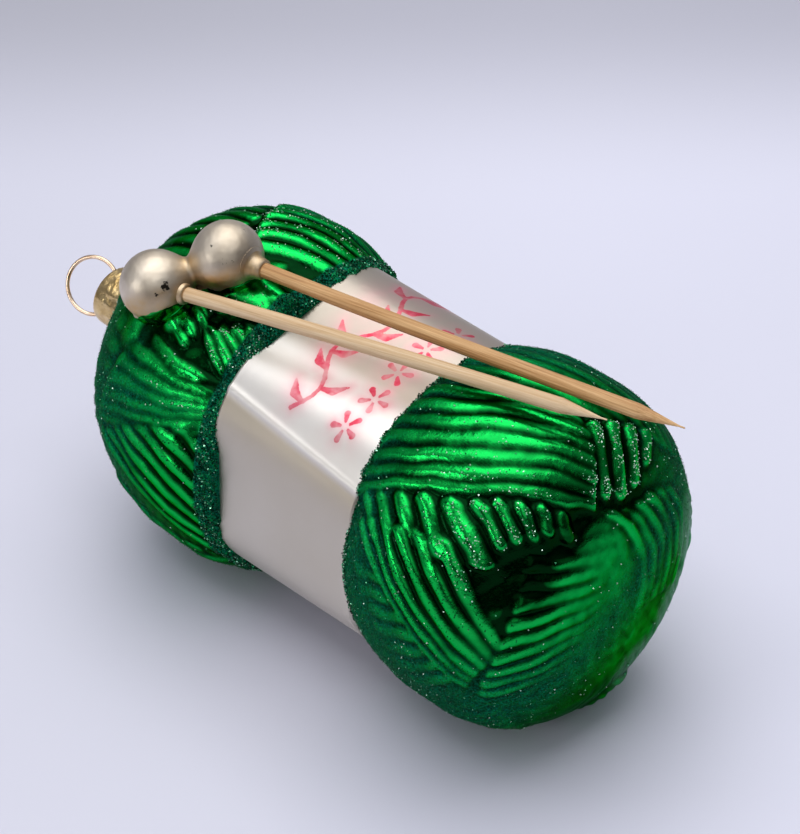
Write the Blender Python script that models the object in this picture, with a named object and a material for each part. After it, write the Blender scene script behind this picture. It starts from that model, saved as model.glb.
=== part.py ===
"""Blown-glass ornament shaped like a banded skein of yarn, with two knitting needles.

It lies on its side, long axis along X: the neck with its gold cap and wire loop at -X,
the large round end at +X.  Sizes are in millimetres and become metres when a mesh is made.
"""
import math
from collections import namedtuple

import bmesh
import bpy
import numpy as np
from mathutils import Matrix, Vector

MM = 0.001

# --- driving dimensions, mm; x is measured from the glass's own zero near the band ---------
FRAME_X, FRAME_Y = 3.59, 0.08          # moves that zero, so the origin is under the middle
AXIS_Z = 30.0                          # height of the long axis over the surface

Lobe = namedtuple("Lobe", "x rear fore half_width half_height squareness z")
FRONT_LOBE = Lobe(x=35.4, rear=22.3, fore=22.3, half_width=27.8, half_height=29.7, squareness=2.7, z=30.1)
REAR_LOBE = Lobe(x=-25.0, rear=23.5, fore=31.0, half_width=28.3, half_height=28.9, squareness=2.5, z=29.5)

BAND_REAR_X, BAND_FRONT_X = -7.0, 21.5
BORDER_BACK, BORDER_FAR_BACK = 0.9, 3.6   # how far back its rear edge lies, and more on the far side
FAR_SIDE_FROM, FAR_SIDE_RISE, FAR_SIDE_TO = -8.0, 42.0, -151.0   # the far side, degrees round
TUCK, TUCK_AT, TUCK_REACH = 1.4, -52.0, 40.0   # the rear lobe falls in there: mm, degrees round
TUCK_BEHIND, TUCK_FADE = 15.0, 9.0     # it starts so far behind the band, and is full after so much
BAND_FLAT_RADIUS = 24.7                # from the axis to the middle of a flat face
BAND_REAR_RADIUS, BAND_FRONT_RADIUS = 27.0, 26.5   # to its rounded corners
BAND_CORNERS, BAND_CORNER_AT, BAND_ROUNDING = 5, 52.0, 0.55
CREASE_AT_REAR, CREASE_AT_FRONT = 50.7, 56.9   # degrees round from the top, towards -Y
CREASE_HEIGHT, CREASE_WIDTH = 0.45, 2.2
LIP = 0.35                             # length of the step from the band up to a lobe

NECK_RADIUS, NECK_END_X, NECK_Y, NECK_Z = 4.3, -58.2, -2.8, 31.3
NECK_BLEND_X = -48.2

BALL_RADIUS = 5.95
BALL_1 = (-28.9, -18.6, 56.0)
BALL_2 = (-22.0, -9.0, 60.5)
WAIST_RADIUS = 2.5

NEEDLE_RADIUS, NEEDLE_POINT = 1.22, 8.0
NEEDLE_1_TIP = (54.0, -1.5, 64.3)
NEEDLE_2_TIP = (63.0, 5.6, 63.9)
NEEDLE_BOW = 0.45                      # how far a skewer strays from straight
SOCKET_DEPTH, FIT_GAP = 3.2, 0.35

CAP_TOP_X, CAP_SKIRT_X = -60.5, -51.6
CAP_RADIUS, CAP_SKIRT_RADIUS, CAP_WALL = 5.5, 5.95, 0.55
CAP_CRIMPS, CAP_CRIMP_DEPTH = 16, 0.22

LOOP_RADIUS, WIRE_RADIUS = 5.1, 0.38
LOOP_TWIST, LOOP_LEAN = 60.0, 18.0     # turn about the cap's axis, and lean off it, degrees
LOOP_REACH = 4.7                       # from the cap's top to the middle of the loop
LOOP_LEG_SPREAD, LOOP_LEG_LENGTH = 2.4, 1.4
LOOP_SLIP = 0.4                        # it sits off the cap's middle

# --- the wound yarn ------------------------------------------------------------------------
# A patch is a row of strands laid side by side.  They run from the edge start_low..start_high
# to the edge end_low..end_high; each corner is (degrees off +X, degrees round from the top
# towards -Y).  lift and crown are in mm, bow bends the strands sideways, in mm, depth and
# far_depth are shares of a plain strand's rise at its two ends, a spread under 1 makes the
# strands at the low edge narrower, fingers are ridges with rounded ends, and reach says how
# far along each strand runs.
Patch = namedtuple("Patch", "start_low start_high end_low end_high strands lift crown bow depth far_depth "
                            "spread fingers reach", defaults=(1.0, 1.0, 1.0, False, None))
FRONT_PATCHES = {
    "top": Patch((122, 61), (119, 14), (36, 11), (64, -5), 7, 0.28, 0.35, -0.7, 1.1, 1.0),
    "fingers": Patch((118, 58), (74, 41), (103, 70), (51, 58), 5, 0.30, 0.0, 0.0, 1.3, 1.5, 0.78, True,
                     (0.97, 0.75, 0.82, 0.93, 1.0)),
    "diagonals": Patch((115, 66), (70, 53), (58, 108), (43, 86), 6, 0.05, 0.25, -0.2, 1.9, 0.9, 0.9),
    "left": Patch((115, 80), (84, 116), (99, 77), (59, 103), 7, 0.0, 0.0, 0.0, 0.6, 1.1),
    "side": Patch((33, 7), (31, -46), (30, -159), (25, -99), 4, 0.03, 0.0, -2.0, 0.25, 0.1),
    "flank": Patch((120, -46), (119, 12), (50, -60), (62, -6), 9, 0.1, 0.3, 1.0, 0.8, 0.4),
    "foot": Patch((100, 132), (54, 112), (64, 168), (24, 160), 8, 0.0, 0.1, 0.0, 0.35, 0.1),
}
FRONT_ONCE = {
    "swirl": Patch((55, 112), (44, 48), (10, 146), (23, -7), 9, 0.0, 0.15, -0.3, 1.7, -0.4),
    "arcs": Patch((34, 8), (40, -45), (9, -120), (30, -105), 6, 0.03, 0.1, 2.0, 1.4, 0.8),
    "short_fingers": Patch((74, 41), (43, 20), (55, 53), (34, 30), 5, 0.30, 0.0, 0.0, 1.3, 1.4, 1.0, True,
                           (1.0, 0.93, 0.9, 0.8, 1.0)),
    "right": Patch((63, -4), (55, -34), (38, 7), (31, -30), 4, 0.30, 0.2, -0.8, 1.4, 1.2, 1.0, True,
                   (1.0, 1.0, 0.82, 0.55)),
}
REAR_PATCHES = {
    "crown": Patch((112, -30), (84, 8), (66, -50), (56, -6), 7, 0.4, 0.35, -2.0, 1.3, 1.1),
    "lump": Patch((85, 13), (84, 25), (60, 11), (61, 24), 2, 0.6, 0.4, 0.0),
    "stubs": Patch((83, 37), (66, 28), (65, 51), (57, 37), 5, 0.30, 0.1, 0.6, 1.5, 1.3, 1.0, True),
    "knuckle": Patch((98, 42), (84, 28), (79, 47), (76, 36), 3, 0.3, 0.2, 0.0, 1.5, 1.5, 1.0, True),
    "fan": Patch((116, 90), (98, 46), (57, 66), (62, 50), 7, 0.2, 0.3, -0.8, 0.9, 1.3),
    "slant": Patch((114, 92), (63, 63), (60, 128), (60, 70), 8, 0.05, 0.15, 0.5, 1.2, 1.5),
    "cheek": Patch((132, 104), (112, 40), (112, 92), (98, 46), 7, 0.0, 0.0, 0.0, 0.5, 0.6),
    "back": Patch((140, -50), (140, 50), (96, -40), (98, 30), 12, 0.1, 0.1, 0.0, 0.8),
    "foot": Patch((112, 112), (60, 132), (100, 165), (60, 170), 9, 0.05, 0.1, 0.0, 0.8),
}
# A hollow is pressed in between the bundles: (direction, radius mm, depth mm).  Under 0 it swells.
FRONT_HOLLOWS = (((47, 54), 2.4, 0.8), ((40, 49), 1.8, 0.8), ((38, 36), 1.8, 0.8), ((50, 64), 2.2, 0.7),
                 ((40, 60), 2.0, 0.7), ((32, -9), 1.4, 0.5), ((39, 21), 1.8, 0.9))
REAR_HOLLOWS = (((66, 51), 1.8, 0.7), ((78, 38), 1.5, 0.5), ((68, 2), 1.6, 0.5), ((96, 50), 1.6, 0.6),
                ((82, 130), 13.0, -1.4))
# A knob is a smooth bulge over the strands near the balls: (direction, radius mm, height mm).
FRONT_KNOBS = ()
REAR_KNOBS = (((69, 18), 2.9, 1.6), ((88, 41), 2.1, 1.5), ((104, 52), 3.6, 1.0))
HALF_TURNS = (0.0, 180.0)
UNDER_ENDS, UNDER_HALF_WIDTH, UNDER_DEPTH = (80.0, -70.0), 40.0, 9.0    # the cutter below z = 0
YARN_SPHERE = 29.0
STRAND_STEEPNESS, STRAND_RISE_MOST = 0.15, 0.60    # rise of a strand over its width, and in mm
STRAND_ROUNDNESS = 0.90
WANDER = 0.30                          # mm
WANDER_WAVES = ((7.1, 14.0, 27.0), (8.3, 12.0, 31.0), (6.2, 16.0, 24.0))
EDGE_SOFTNESS = 0.7
FINGER_END = 1.3                       # how rounded the ends of fingers are, mm
UNDER_AXIS, UNDER_PITCH, UNDER_RISE = (38.0, 150.0), 4.6, 0.12   # the layer under the patches
RELIEF_FADE = 1.2                      # the strands sink at the band's borders

# --- mesh density --------------------------------------------------------------------------
COLUMNS = 384
LOBE_RINGS = 150
BAND_RINGS = 20
GLASS_FACES = 9300
ROUND = 24


def smooth_step(value):
    value = np.clip(value, 0.0, 1.0)
    return value * value * (3.0 - 2.0 * value)


def unit_vector(vector):
    vector = np.asarray(vector, float)
    return vector / np.linalg.norm(vector, axis=-1, keepdims=True)


def direction(from_x, round_top):
    """Unit vector from its angle off +X and its angle round from the top towards -Y."""
    off, turn = math.radians(from_x), math.radians(round_top)
    return np.array([math.cos(off), -math.sin(off) * math.sin(turn), math.sin(off) * math.cos(turn)])


def strand_profile(position):
    """A strand's rounded back between its two valleys: 0 in a valley, 1 on top."""
    across = 2.0 * (position - np.floor(position)) - 1.0
    valley = math.sqrt(1.0 - STRAND_ROUNDNESS)
    return (np.sqrt(1.0 - STRAND_ROUNDNESS * across * across) - valley) / (1.0 - valley)


def wandering(unit):
    """Directions nudged by a smooth uneven wander, so that no strand runs quite true."""
    nudge = np.zeros_like(unit)
    for axis, (slow, quick, fine) in enumerate(WANDER_WAVES):
        other, third = unit[..., (axis + 1) % 3], unit[..., (axis + 2) % 3]
        swell = np.sin(slow * other + 2.1 * third + axis)
        ripple = 0.6 * np.sin(quick * third - 5.0 * other + 2.0 * axis)
        nudge[..., axis] = swell + ripple + 0.3 * np.sin(fine * other + 11.0 * third)
    return unit_vector(unit + nudge * WANDER / YARN_SPHERE)


def patch_shares(unit, patch, turn):
    """Each direction's shares along and across a patch, their mm per share, and whether it is found."""
    corners = [direction(corner[0], corner[1] + turn)
               for corner in (patch.start_low, patch.start_high, patch.end_low, patch.end_high)]
    middle = unit_vector(sum(corners))
    along_way = corners[2] + corners[3] - corners[0] - corners[1]
    along_way = unit_vector(along_way - middle * (along_way @ middle))
    across_way = np.cross(middle, along_way)

    def flat(vectors):
        to_sphere = YARN_SPHERE / np.maximum(vectors @ middle, 0.15)
        return np.stack([vectors @ along_way * to_sphere, vectors @ across_way * to_sphere], -1)

    low_start, high_start, low_end, high_end = (flat(corner[None])[0] for corner in corners)
    ahead, sideways = low_end - low_start, high_start - low_start
    shear = high_end - high_start - ahead
    bow_way = np.array([0.0, 1.0 if sideways[1] > 0 else -1.0]) * patch.bow
    target = flat(unit)
    u = np.full(unit.shape[:-1], 0.5)
    v = np.full(unit.shape[:-1], 0.5)
    for _ in range(9):
        there = (low_start + u[..., None] * ahead + v[..., None] * sideways + (u * v)[..., None] * shear
                 + (4.0 * u * (1.0 - u))[..., None] * bow_way)
        by_u = ahead + v[..., None] * shear + (4.0 * (1.0 - 2.0 * u))[..., None] * bow_way
        by_v = sideways + u[..., None] * shear
        miss = target - there
        area = by_u[..., 0] * by_v[..., 1] - by_u[..., 1] * by_v[..., 0]
        area = np.where(np.abs(area) < 1e-3, 1e-3, area)
        u = np.clip(u + (miss[..., 0] * by_v[..., 1] - miss[..., 1] * by_v[..., 0]) / area, -0.7, 1.7)
        v = np.clip(v + (by_u[..., 0] * miss[..., 1] - by_u[..., 1] * miss[..., 0]) / area, -0.7, 1.7)
    found = (unit @ middle > 0.3) & (np.linalg.norm(miss, axis=-1) < 0.3)
    return u, v, np.linalg.norm(by_u, axis=-1), np.linalg.norm(by_v, axis=-1), found


def ridge_profile(position):
    """A finger's ridge between two broad valleys: 0 in a valley, 1 on top."""
    return 0.5 * strand_profile(position) + 0.25 - 0.25 * np.cos(2.0 * math.pi * position)


def patch_height(unit, patch, turn):
    u, v, along_mm, across_mm, found = patch_shares(unit, patch, turn)
    position = np.sign(v) * np.abs(v) ** patch.spread * patch.strands
    strand = np.clip(np.floor(position), 0, patch.strands - 1).astype(int)
    across = 2.0 * (position - np.floor(position)) - 1.0
    wander = 0.5 + 0.5 * np.sin(7.3 * strand + 1.7 * patch.strands + turn)
    reach = np.array(patch.reach or [1.0] * patch.strands)[strand]
    past_end = np.minimum(u, reach - u) * along_mm
    if patch.fingers:
        inside = smooth_step((past_end - FINGER_END * across * across) / EDGE_SOFTNESS)
    else:
        inside = smooth_step(0.5 + 0.4 * past_end / EDGE_SOFTNESS)
    past_side = np.minimum(v, 1.0 - v) * across_mm
    inside = inside * smooth_step(0.5 + past_side / EDGE_SOFTNESS) * found
    depth = np.maximum(patch.depth + (patch.far_depth - patch.depth) * np.clip(u, 0.0, 1.0), 0.0)
    rise = np.minimum(STRAND_STEEPNESS * across_mm / patch.strands, STRAND_RISE_MOST) * depth
    crown = patch.crown * np.clip(1.0 - (2.0 * v - 1.0) ** 2, 0.0, 1.0)
    swell = 1.0 + 0.12 * np.sin(9.0 * u + 2.4 * strand)
    profile = ridge_profile if patch.fingers else strand_profile
    height = patch.lift * (1.0 + 0.25 * wander) + crown + rise * profile(position) * swell
    return height * inside


def mm_away(unit, at):
    """How far each direction lies from a place, in mm on the yarn's sphere."""
    return np.arccos(np.clip(unit @ direction(*at), -1.0, 1.0)) * YARN_SPHERE


def yarn_height(unit, patches, once, hollows, knobs):
    unit = wandering(unit)
    under_lat = np.degrees(np.arcsin(np.clip(unit @ direction(*UNDER_AXIS), -1.0, 1.0)))
    relief = UNDER_RISE * strand_profile(under_lat / UNDER_PITCH)
    for turn in HALF_TURNS:
        for patch in patches.values():
            relief = np.maximum(relief, patch_height(unit, patch, turn))
    for patch in once.values():
        relief = np.maximum(relief, patch_height(unit, patch, 0.0))
    for at, radius, height in knobs:
        relief = np.maximum(relief, height * np.exp(-((mm_away(unit, at) / radius) ** 2)))
    for at, radius, depth in hollows:
        relief = relief - depth * np.exp(-((mm_away(unit, at) / radius) ** 2))
    return relief


def lobe_section(lobe, x):
    """Share of the lobe's full width that it has at x."""
    reach = np.where(x < lobe.x, (lobe.x - x) / lobe.rear, (x - lobe.x) / lobe.fore)
    return np.clip(1.0 - np.clip(reach, 0.0, 1.0) ** lobe.squareness, 0.0, 1.0) ** (1.0 / lobe.squareness)


def lobe_stations(lobe, x_from, x_to, count):
    """Stations along a lobe, close together where it curves in to a pole."""
    def angle(x):
        reach = (lobe.x - x) / lobe.rear if x < lobe.x else (lobe.x - x) / lobe.fore
        return math.acos(max(-1.0, min(1.0, reach)))
    stations = []
    for step in np.linspace(angle(x_from), angle(x_to), count):
        reach = math.cos(step)
        stations.append(lobe.x - reach * (lobe.rear if reach > 0 else lobe.fore))
    return stations


def degrees_round(turn):
    return np.degrees((turn + math.pi) % (2.0 * math.pi) - math.pi)


def rear_border(turn):
    """Where the green's edge lies round the rear of the band: further back on the far side."""
    turned = degrees_round(turn)
    begun = smooth_step((FAR_SIDE_FROM - turned) / FAR_SIDE_RISE)
    lasting = smooth_step((turned - FAR_SIDE_TO) / FAR_SIDE_RISE)
    return -BORDER_BACK - BORDER_FAR_BACK * begun * lasting


def rear_tuck(x, turn):
    """How far the rear lobe falls in near the band on the far side."""
    by_turn = smooth_step(1.4 - 1.4 * np.abs(degrees_round(turn) - TUCK_AT) / TUCK_REACH)
    return TUCK * by_turn * smooth_step((x - BAND_REAR_X + TUCK_BEHIND) / TUCK_FADE)


def lobe_surface(lobe, patches, once, hollows, knobs, stations, columns, border_x):
    """Points of a lobe with its yarn; border_x is where the band begins."""
    x, turn = np.meshgrid(np.array(stations), columns, indexing="ij")
    if border_x == BAND_REAR_X:
        x = x + rear_border(turn) * smooth_step((x - lobe.x) / (border_x - lobe.x))
    share = lobe_section(lobe, x)
    y = -share * lobe.half_width * np.sin(turn)
    z = share * lobe.half_height * np.cos(turn)
    length = np.where(x < lobe.x, lobe.rear, lobe.fore)
    unit = unit_vector(np.stack([(x - lobe.x) / length, y / lobe.half_width, z / lobe.half_height], -1))
    lengths = np.stack([length, np.full_like(x, lobe.half_width), np.full_like(x, lobe.half_height)], -1)
    edge_x = x[-1] if border_x == BAND_REAR_X else border_x
    fade = smooth_step(np.abs(x - edge_x) / RELIEF_FADE) * 0.7 + 0.3
    height = yarn_height(unit, patches, once, hollows, knobs) * fade
    if border_x == BAND_REAR_X:
        height = height - rear_tuck(x, turn)
    return np.stack([x, y, z + lobe.z], -1) + unit_vector(unit / lengths) * height[..., None]


def band_surface(rings, columns):
    """The paper band: a soft five-cornered tube with one sharp fold along it."""
    along, turn = np.meshgrid(np.linspace(0.0, 1.0, rings), columns, indexing="ij")
    first = BAND_REAR_X + rear_border(turn) + LIP
    x = first + along * (BAND_FRONT_X - LIP - first)
    share = (x - BAND_REAR_X) / (BAND_FRONT_X - BAND_REAR_X)
    corner_radius = BAND_REAR_RADIUS + share * (BAND_FRONT_RADIUS - BAND_REAR_RADIUS)
    face_angle = 2.0 * math.pi / BAND_CORNERS
    off_face = (turn - math.radians(BAND_CORNER_AT)) % face_angle - 0.5 * face_angle
    face_radius = BAND_FLAT_RADIUS / np.cos(off_face)
    blend = np.exp(-face_radius / BAND_ROUNDING) + np.exp(-corner_radius / BAND_ROUNDING)
    radius = -BAND_ROUNDING * np.log(blend)
    crease_at = np.radians(CREASE_AT_REAR + share * (CREASE_AT_FRONT - CREASE_AT_REAR))
    away = (turn - crease_at + math.pi) % (2.0 * math.pi) - math.pi
    crease = np.exp(-((away * radius / (0.5 * CREASE_WIDTH)) ** 2))
    radius = radius + CREASE_HEIGHT * crease
    return np.stack([x, -radius * np.sin(turn), AXIS_Z + radius * np.cos(turn)], -1)


def neck_surface(columns):
    """Round neck that the cap sits on, flaring into the end of the rear lobe."""
    stations = ((NECK_END_X, 0.9), (NECK_END_X + 0.5, 1.0), (-51.0, 1.0), (-49.9, 1.08), (-49.1, 1.3),
                (-48.6, 1.6))
    rings = []
    for x, flare in stations:
        radius = NECK_RADIUS * flare
        rings.append(np.stack([np.full_like(columns, x), NECK_Y - radius * np.sin(columns),
                               NECK_Z + radius * np.cos(columns)], -1))
    return np.array(rings)


def closed_mesh(name, rings):
    """Skin a stack of rings, each with the same number of points, and close both ends."""
    count, columns = rings.shape[:2]
    points = [tuple(point * MM) for point in rings.reshape(-1, 3)]
    first_end = len(points)
    points.append(tuple(rings[0].mean(axis=0) * MM))
    points.append(tuple(rings[-1].mean(axis=0) * MM))
    faces = []
    for ring in range(count - 1):
        for column in range(columns):
            here, beside = ring * columns + column, ring * columns + (column + 1) % columns
            faces.append((here, beside, beside + columns, here + columns))
    last = (count - 1) * columns
    for column in range(columns):
        beside = (column + 1) % columns
        faces.append((first_end, beside, column))
        faces.append((first_end + 1, last + column, last + beside))
    mesh = bpy.data.meshes.new(name)
    mesh.from_pydata(points, [], faces)
    return mesh


def material(name, colour, roughness, metallic):
    made = bpy.data.materials.new(name)
    made.use_nodes = True
    made.diffuse_color = (*colour, 1.0)
    shader = made.node_tree.nodes["Principled BSDF"]
    shader.inputs["Base Color"].default_value = (*colour, 1.0)
    shader.inputs["Roughness"].default_value = roughness
    shader.inputs["Metallic"].default_value = metallic
    return made


def add_object(name, mesh, finish, parent):
    placed = bpy.data.objects.new(name, mesh)
    bpy.context.collection.objects.link(placed)
    if finish is not None:
        mesh.materials.append(finish)
    placed.parent = parent
    return placed


def as_cutter(placed):
    placed.hide_render = True
    placed.display_type = "WIRE"
    return placed


def combine(target, other, operation):
    modifier = target.modifiers.new(operation.title(), "BOOLEAN")
    modifier.object = other
    modifier.operation = operation
    modifier.solver = "EXACT"


def swept_mesh(name, centres, radii, sides):
    """Round rod through the given centres, with a radius for each."""
    centres = [Vector(point) for point in centres]
    side = None
    rings = []
    for index, centre in enumerate(centres):
        ahead = centres[min(index + 1, len(centres) - 1)]
        behind = centres[max(index - 1, 0)]
        forward = (ahead - behind).normalized()
        if side is None:
            side = forward.cross(Vector((0.0, 1.0, 0.2))).normalized()
        side = (side - forward * side.dot(forward)).normalized()
        upward = forward.cross(side)
        ring = []
        for step in range(sides):
            angle = 2.0 * math.pi * step / sides
            ring.append(centre + radii[index] * (math.cos(angle) * side + math.sin(angle) * upward))
        rings.append(ring)
    return closed_mesh(name, np.array(rings))


def sphere_mesh(name, centre, radius):
    bm = bmesh.new()
    place = Matrix.Translation(Vector(centre) * MM)
    bmesh.ops.create_uvsphere(bm, u_segments=ROUND, v_segments=ROUND // 2 + 2, radius=radius * MM,
                              matrix=place)
    mesh = bpy.data.meshes.new(name)
    bm.to_mesh(mesh)
    bm.free()
    return mesh


def toward(start, end, distance):
    start, end = Vector(start), Vector(end)
    return start + (end - start).normalized() * distance


def make_glass(finish, parent):
    """The one blown piece: both lobes, the band, the neck and the two balls."""
    columns = np.linspace(0.0, 2.0 * math.pi, COLUMNS, endpoint=False)
    stations = lobe_stations(REAR_LOBE, NECK_BLEND_X, BAND_REAR_X, LOBE_RINGS)
    rear = lobe_surface(REAR_LOBE, REAR_PATCHES, {}, REAR_HOLLOWS, REAR_KNOBS, stations, columns,
                        BAND_REAR_X)
    band = band_surface(BAND_RINGS, columns)
    front_end = FRONT_LOBE.x + FRONT_LOBE.fore
    stations = lobe_stations(FRONT_LOBE, BAND_FRONT_X, front_end - 0.002, LOBE_RINGS)
    front = lobe_surface(FRONT_LOBE, FRONT_PATCHES, FRONT_ONCE, FRONT_HOLLOWS, FRONT_KNOBS, stations,
                         columns, BAND_FRONT_X)
    skin = closed_mesh("glass_skin", np.concatenate([neck_surface(columns), rear, band, front]))
    dense = add_object("glass_skin", skin, None, parent)
    thin = dense.modifiers.new("Thin", "DECIMATE")
    thin.ratio = GLASS_FACES / (2.0 * len(skin.polygons))
    evaluated = dense.evaluated_get(bpy.context.evaluated_depsgraph_get())
    mesh = bpy.data.meshes.new_from_object(evaluated)
    bpy.data.objects.remove(dense, do_unlink=True)
    mesh.name = "glass_body"
    glass = add_object("glass_body", mesh, finish, parent)

    # The surface under it cuts off the small flats that it rests on.
    low_far, far, near, low_near = (-1.0, -UNDER_DEPTH), (-1.0, 0.0), (1.0, 0.0), (1.0, -UNDER_DEPTH)
    under = closed_mesh("table", np.array([[(x, side * UNDER_HALF_WIDTH, z) for side, z in
                                            (low_far, far, near, low_near)] for x in UNDER_ENDS]))
    combine(glass, as_cutter(add_object("table", under, None, parent)), "DIFFERENCE")
    for name, centre in (("ball_left", BALL_1), ("ball_right", BALL_2)):
        ball = as_cutter(add_object(name, sphere_mesh(name, centre, BALL_RADIUS), None, parent))
        combine(glass, ball, "UNION")
    waist = swept_mesh("ball_waist", [BALL_1, toward(BALL_1, BALL_2, 6.3), BALL_2], [WAIST_RADIUS] * 3, ROUND)
    combine(glass, as_cutter(add_object("ball_waist", waist, None, parent)), "UNION")
    for name, ball, tip in (("socket_left", BALL_1, NEEDLE_1_TIP), ("socket_right", BALL_2, NEEDLE_2_TIP)):
        bottom = toward(ball, tip, BALL_RADIUS - SOCKET_DEPTH)
        mouth = toward(ball, tip, BALL_RADIUS + 3.0)
        bore = swept_mesh(name, [bottom, mouth], [NEEDLE_RADIUS + FIT_GAP] * 2, 16)
        combine(glass, as_cutter(add_object(name, bore, None, parent)), "DIFFERENCE")
    return glass


def make_needle(name, ball, tip, bow_side, finish, parent):
    """Wooden skewer, slightly bowed, seated in its ball and cut to a cone at the tip."""
    start = toward(ball, tip, BALL_RADIUS - SOCKET_DEPTH + FIT_GAP)
    run = Vector(tip) - start
    length = run.length
    side = run.cross(Vector((0.0, 0.0, 1.0))).normalized()
    centres, radii = [], []
    for share in (0.0, 0.004, 0.2, 0.4, 0.6, 0.8, 1.0 - NEEDLE_POINT / length, 1.0):
        bow = NEEDLE_BOW * bow_side * math.sin(math.pi * share) * min(1.0, share * 6.0)
        centres.append(start + run * share + side * bow)
        radii.append(NEEDLE_RADIUS * (0.9 if share == 0.0 else 0.1 if share == 1.0 else 1.0))
    return add_object(name, swept_mesh(name, centres, radii, 12), finish, parent)


def make_cap(finish, parent):
    """Gold crown cap: a thin cup with a crimped skirt and two holes for the loop's legs."""
    outer = ((CAP_TOP_X, 0.55), (CAP_TOP_X, CAP_RADIUS - 0.7), (CAP_TOP_X + 0.25, CAP_RADIUS - 0.2),
             (CAP_TOP_X + 0.8, CAP_RADIUS), (CAP_SKIRT_X - 2.0, CAP_RADIUS + 0.1),
             (CAP_SKIRT_X, CAP_SKIRT_RADIUS))
    inner = ((CAP_SKIRT_X, CAP_SKIRT_RADIUS - CAP_WALL), (CAP_SKIRT_X - 2.0, CAP_RADIUS + 0.1 - CAP_WALL),
             (CAP_TOP_X + 0.9, CAP_RADIUS - CAP_WALL), (CAP_TOP_X + CAP_WALL, CAP_RADIUS - 1.1),
             (CAP_TOP_X + CAP_WALL, 0.55))
    columns = np.linspace(0.0, 2.0 * math.pi, CAP_CRIMPS * 4, endpoint=False)
    rings = []
    for x, radius in outer + inner:
        depth = smooth_step((x - CAP_TOP_X - 1.0) / (CAP_SKIRT_X - CAP_TOP_X - 1.0))
        wave = radius + CAP_CRIMP_DEPTH * depth * np.cos(CAP_CRIMPS * columns)
        rings.append(np.stack([np.full_like(columns, x), NECK_Y - wave * np.sin(columns),
                               NECK_Z + wave * np.cos(columns)], -1))
    cap = add_object("cap", closed_mesh("cap", np.array(rings)), finish, parent)
    for side in (-1.0, 1.0):
        hole_at = loop_point(-LOOP_REACH, side * LOOP_LEG_SPREAD)
        ends = [hole_at - Vector((2.0, 0.0, 0.0)), hole_at + Vector((3.0, 0.0, 0.0))]
        hole = swept_mesh("leg_hole", ends, [WIRE_RADIUS + FIT_GAP] * 2, 12)
        combine(cap, as_cutter(add_object("leg_hole", hole, None, parent)), "DIFFERENCE")
    return cap


def loop_point(outward, sideways):
    """A point in the loop's plane, from the loop's middle."""
    twist, lean = math.radians(LOOP_TWIST), math.radians(LOOP_LEAN)
    across = Vector((0.0, math.cos(twist), math.sin(twist)))
    up = Vector((-math.cos(lean), -math.sin(lean) * math.sin(twist), math.sin(lean) * math.cos(twist)))
    middle = Vector((CAP_TOP_X, NECK_Y, NECK_Z)) + up * LOOP_REACH - across * LOOP_SLIP
    return middle + up * outward + across * sideways


def make_loop(finish, parent):
    """Hanging loop of round wire; its two legs go in through the top of the cap."""
    route = []
    leg = Vector((LOOP_LEG_LENGTH, 0.0, 0.0))
    hole_low, hole_high = (loop_point(-LOOP_REACH, side * LOOP_LEG_SPREAD) for side in (-1.0, 1.0))
    open_half = 38.0
    route.append(hole_low + leg)
    route.append(hole_low + leg * 0.3)
    route.append(hole_low - leg * 0.25)
    for step in range(29):
        angle = math.radians(180.0 + open_half + (360.0 - 2.0 * open_half) * step / 28.0)
        route.append(loop_point(LOOP_RADIUS * math.cos(angle), LOOP_RADIUS * math.sin(angle)))
    route.append(hole_high - leg * 0.25)
    route.append(hole_high + leg * 0.3)
    route.append(hole_high + leg)
    return add_object("hanging_loop", swept_mesh("hanging_loop", route, [WIRE_RADIUS] * len(route), 10),
                      finish, parent)


def main():
    for old in list(bpy.data.objects):
        bpy.data.objects.remove(old, do_unlink=True)
    ornament = bpy.data.objects.new("ornament", None)
    bpy.context.collection.objects.link(ornament)
    ornament.location = (FRAME_X * MM, FRAME_Y * MM, 0.0)
    green = material("green_lacquer_glass", (0.01, 0.26, 0.06), 0.15, 0.9)
    wood = material("bamboo", (0.66, 0.44, 0.22), 0.55, 0.0)
    gold = material("gold_foil_cap", (0.72, 0.52, 0.22), 0.3, 1.0)
    wire = material("gilt_wire", (0.70, 0.50, 0.25), 0.25, 1.0)
    made = [make_glass(green, ornament)]
    made.append(make_needle("needle_left", BALL_1, NEEDLE_1_TIP, -1.0, wood, ornament))
    made.append(make_needle("needle_right", BALL_2, NEEDLE_2_TIP, 1.0, wood, ornament))
    made.append(make_cap(gold, ornament))
    made.append(make_loop(wire, ornament))
    for placed in made:
        placed.data.shade_smooth()
        placed.data.set_sharp_from_angle(angle=math.radians(40.0))


main()
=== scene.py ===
"""Looks of a blown-glass ornament shaped like a banded skein of yarn with two knitting needles.

It lies on its side: the neck with its gold cap and wire loop at -X, the large round end at +X.
Sizes are in millimetres from the glass's own zero and become metres, in the frame, in place().
"""
import math
from collections import namedtuple

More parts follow.
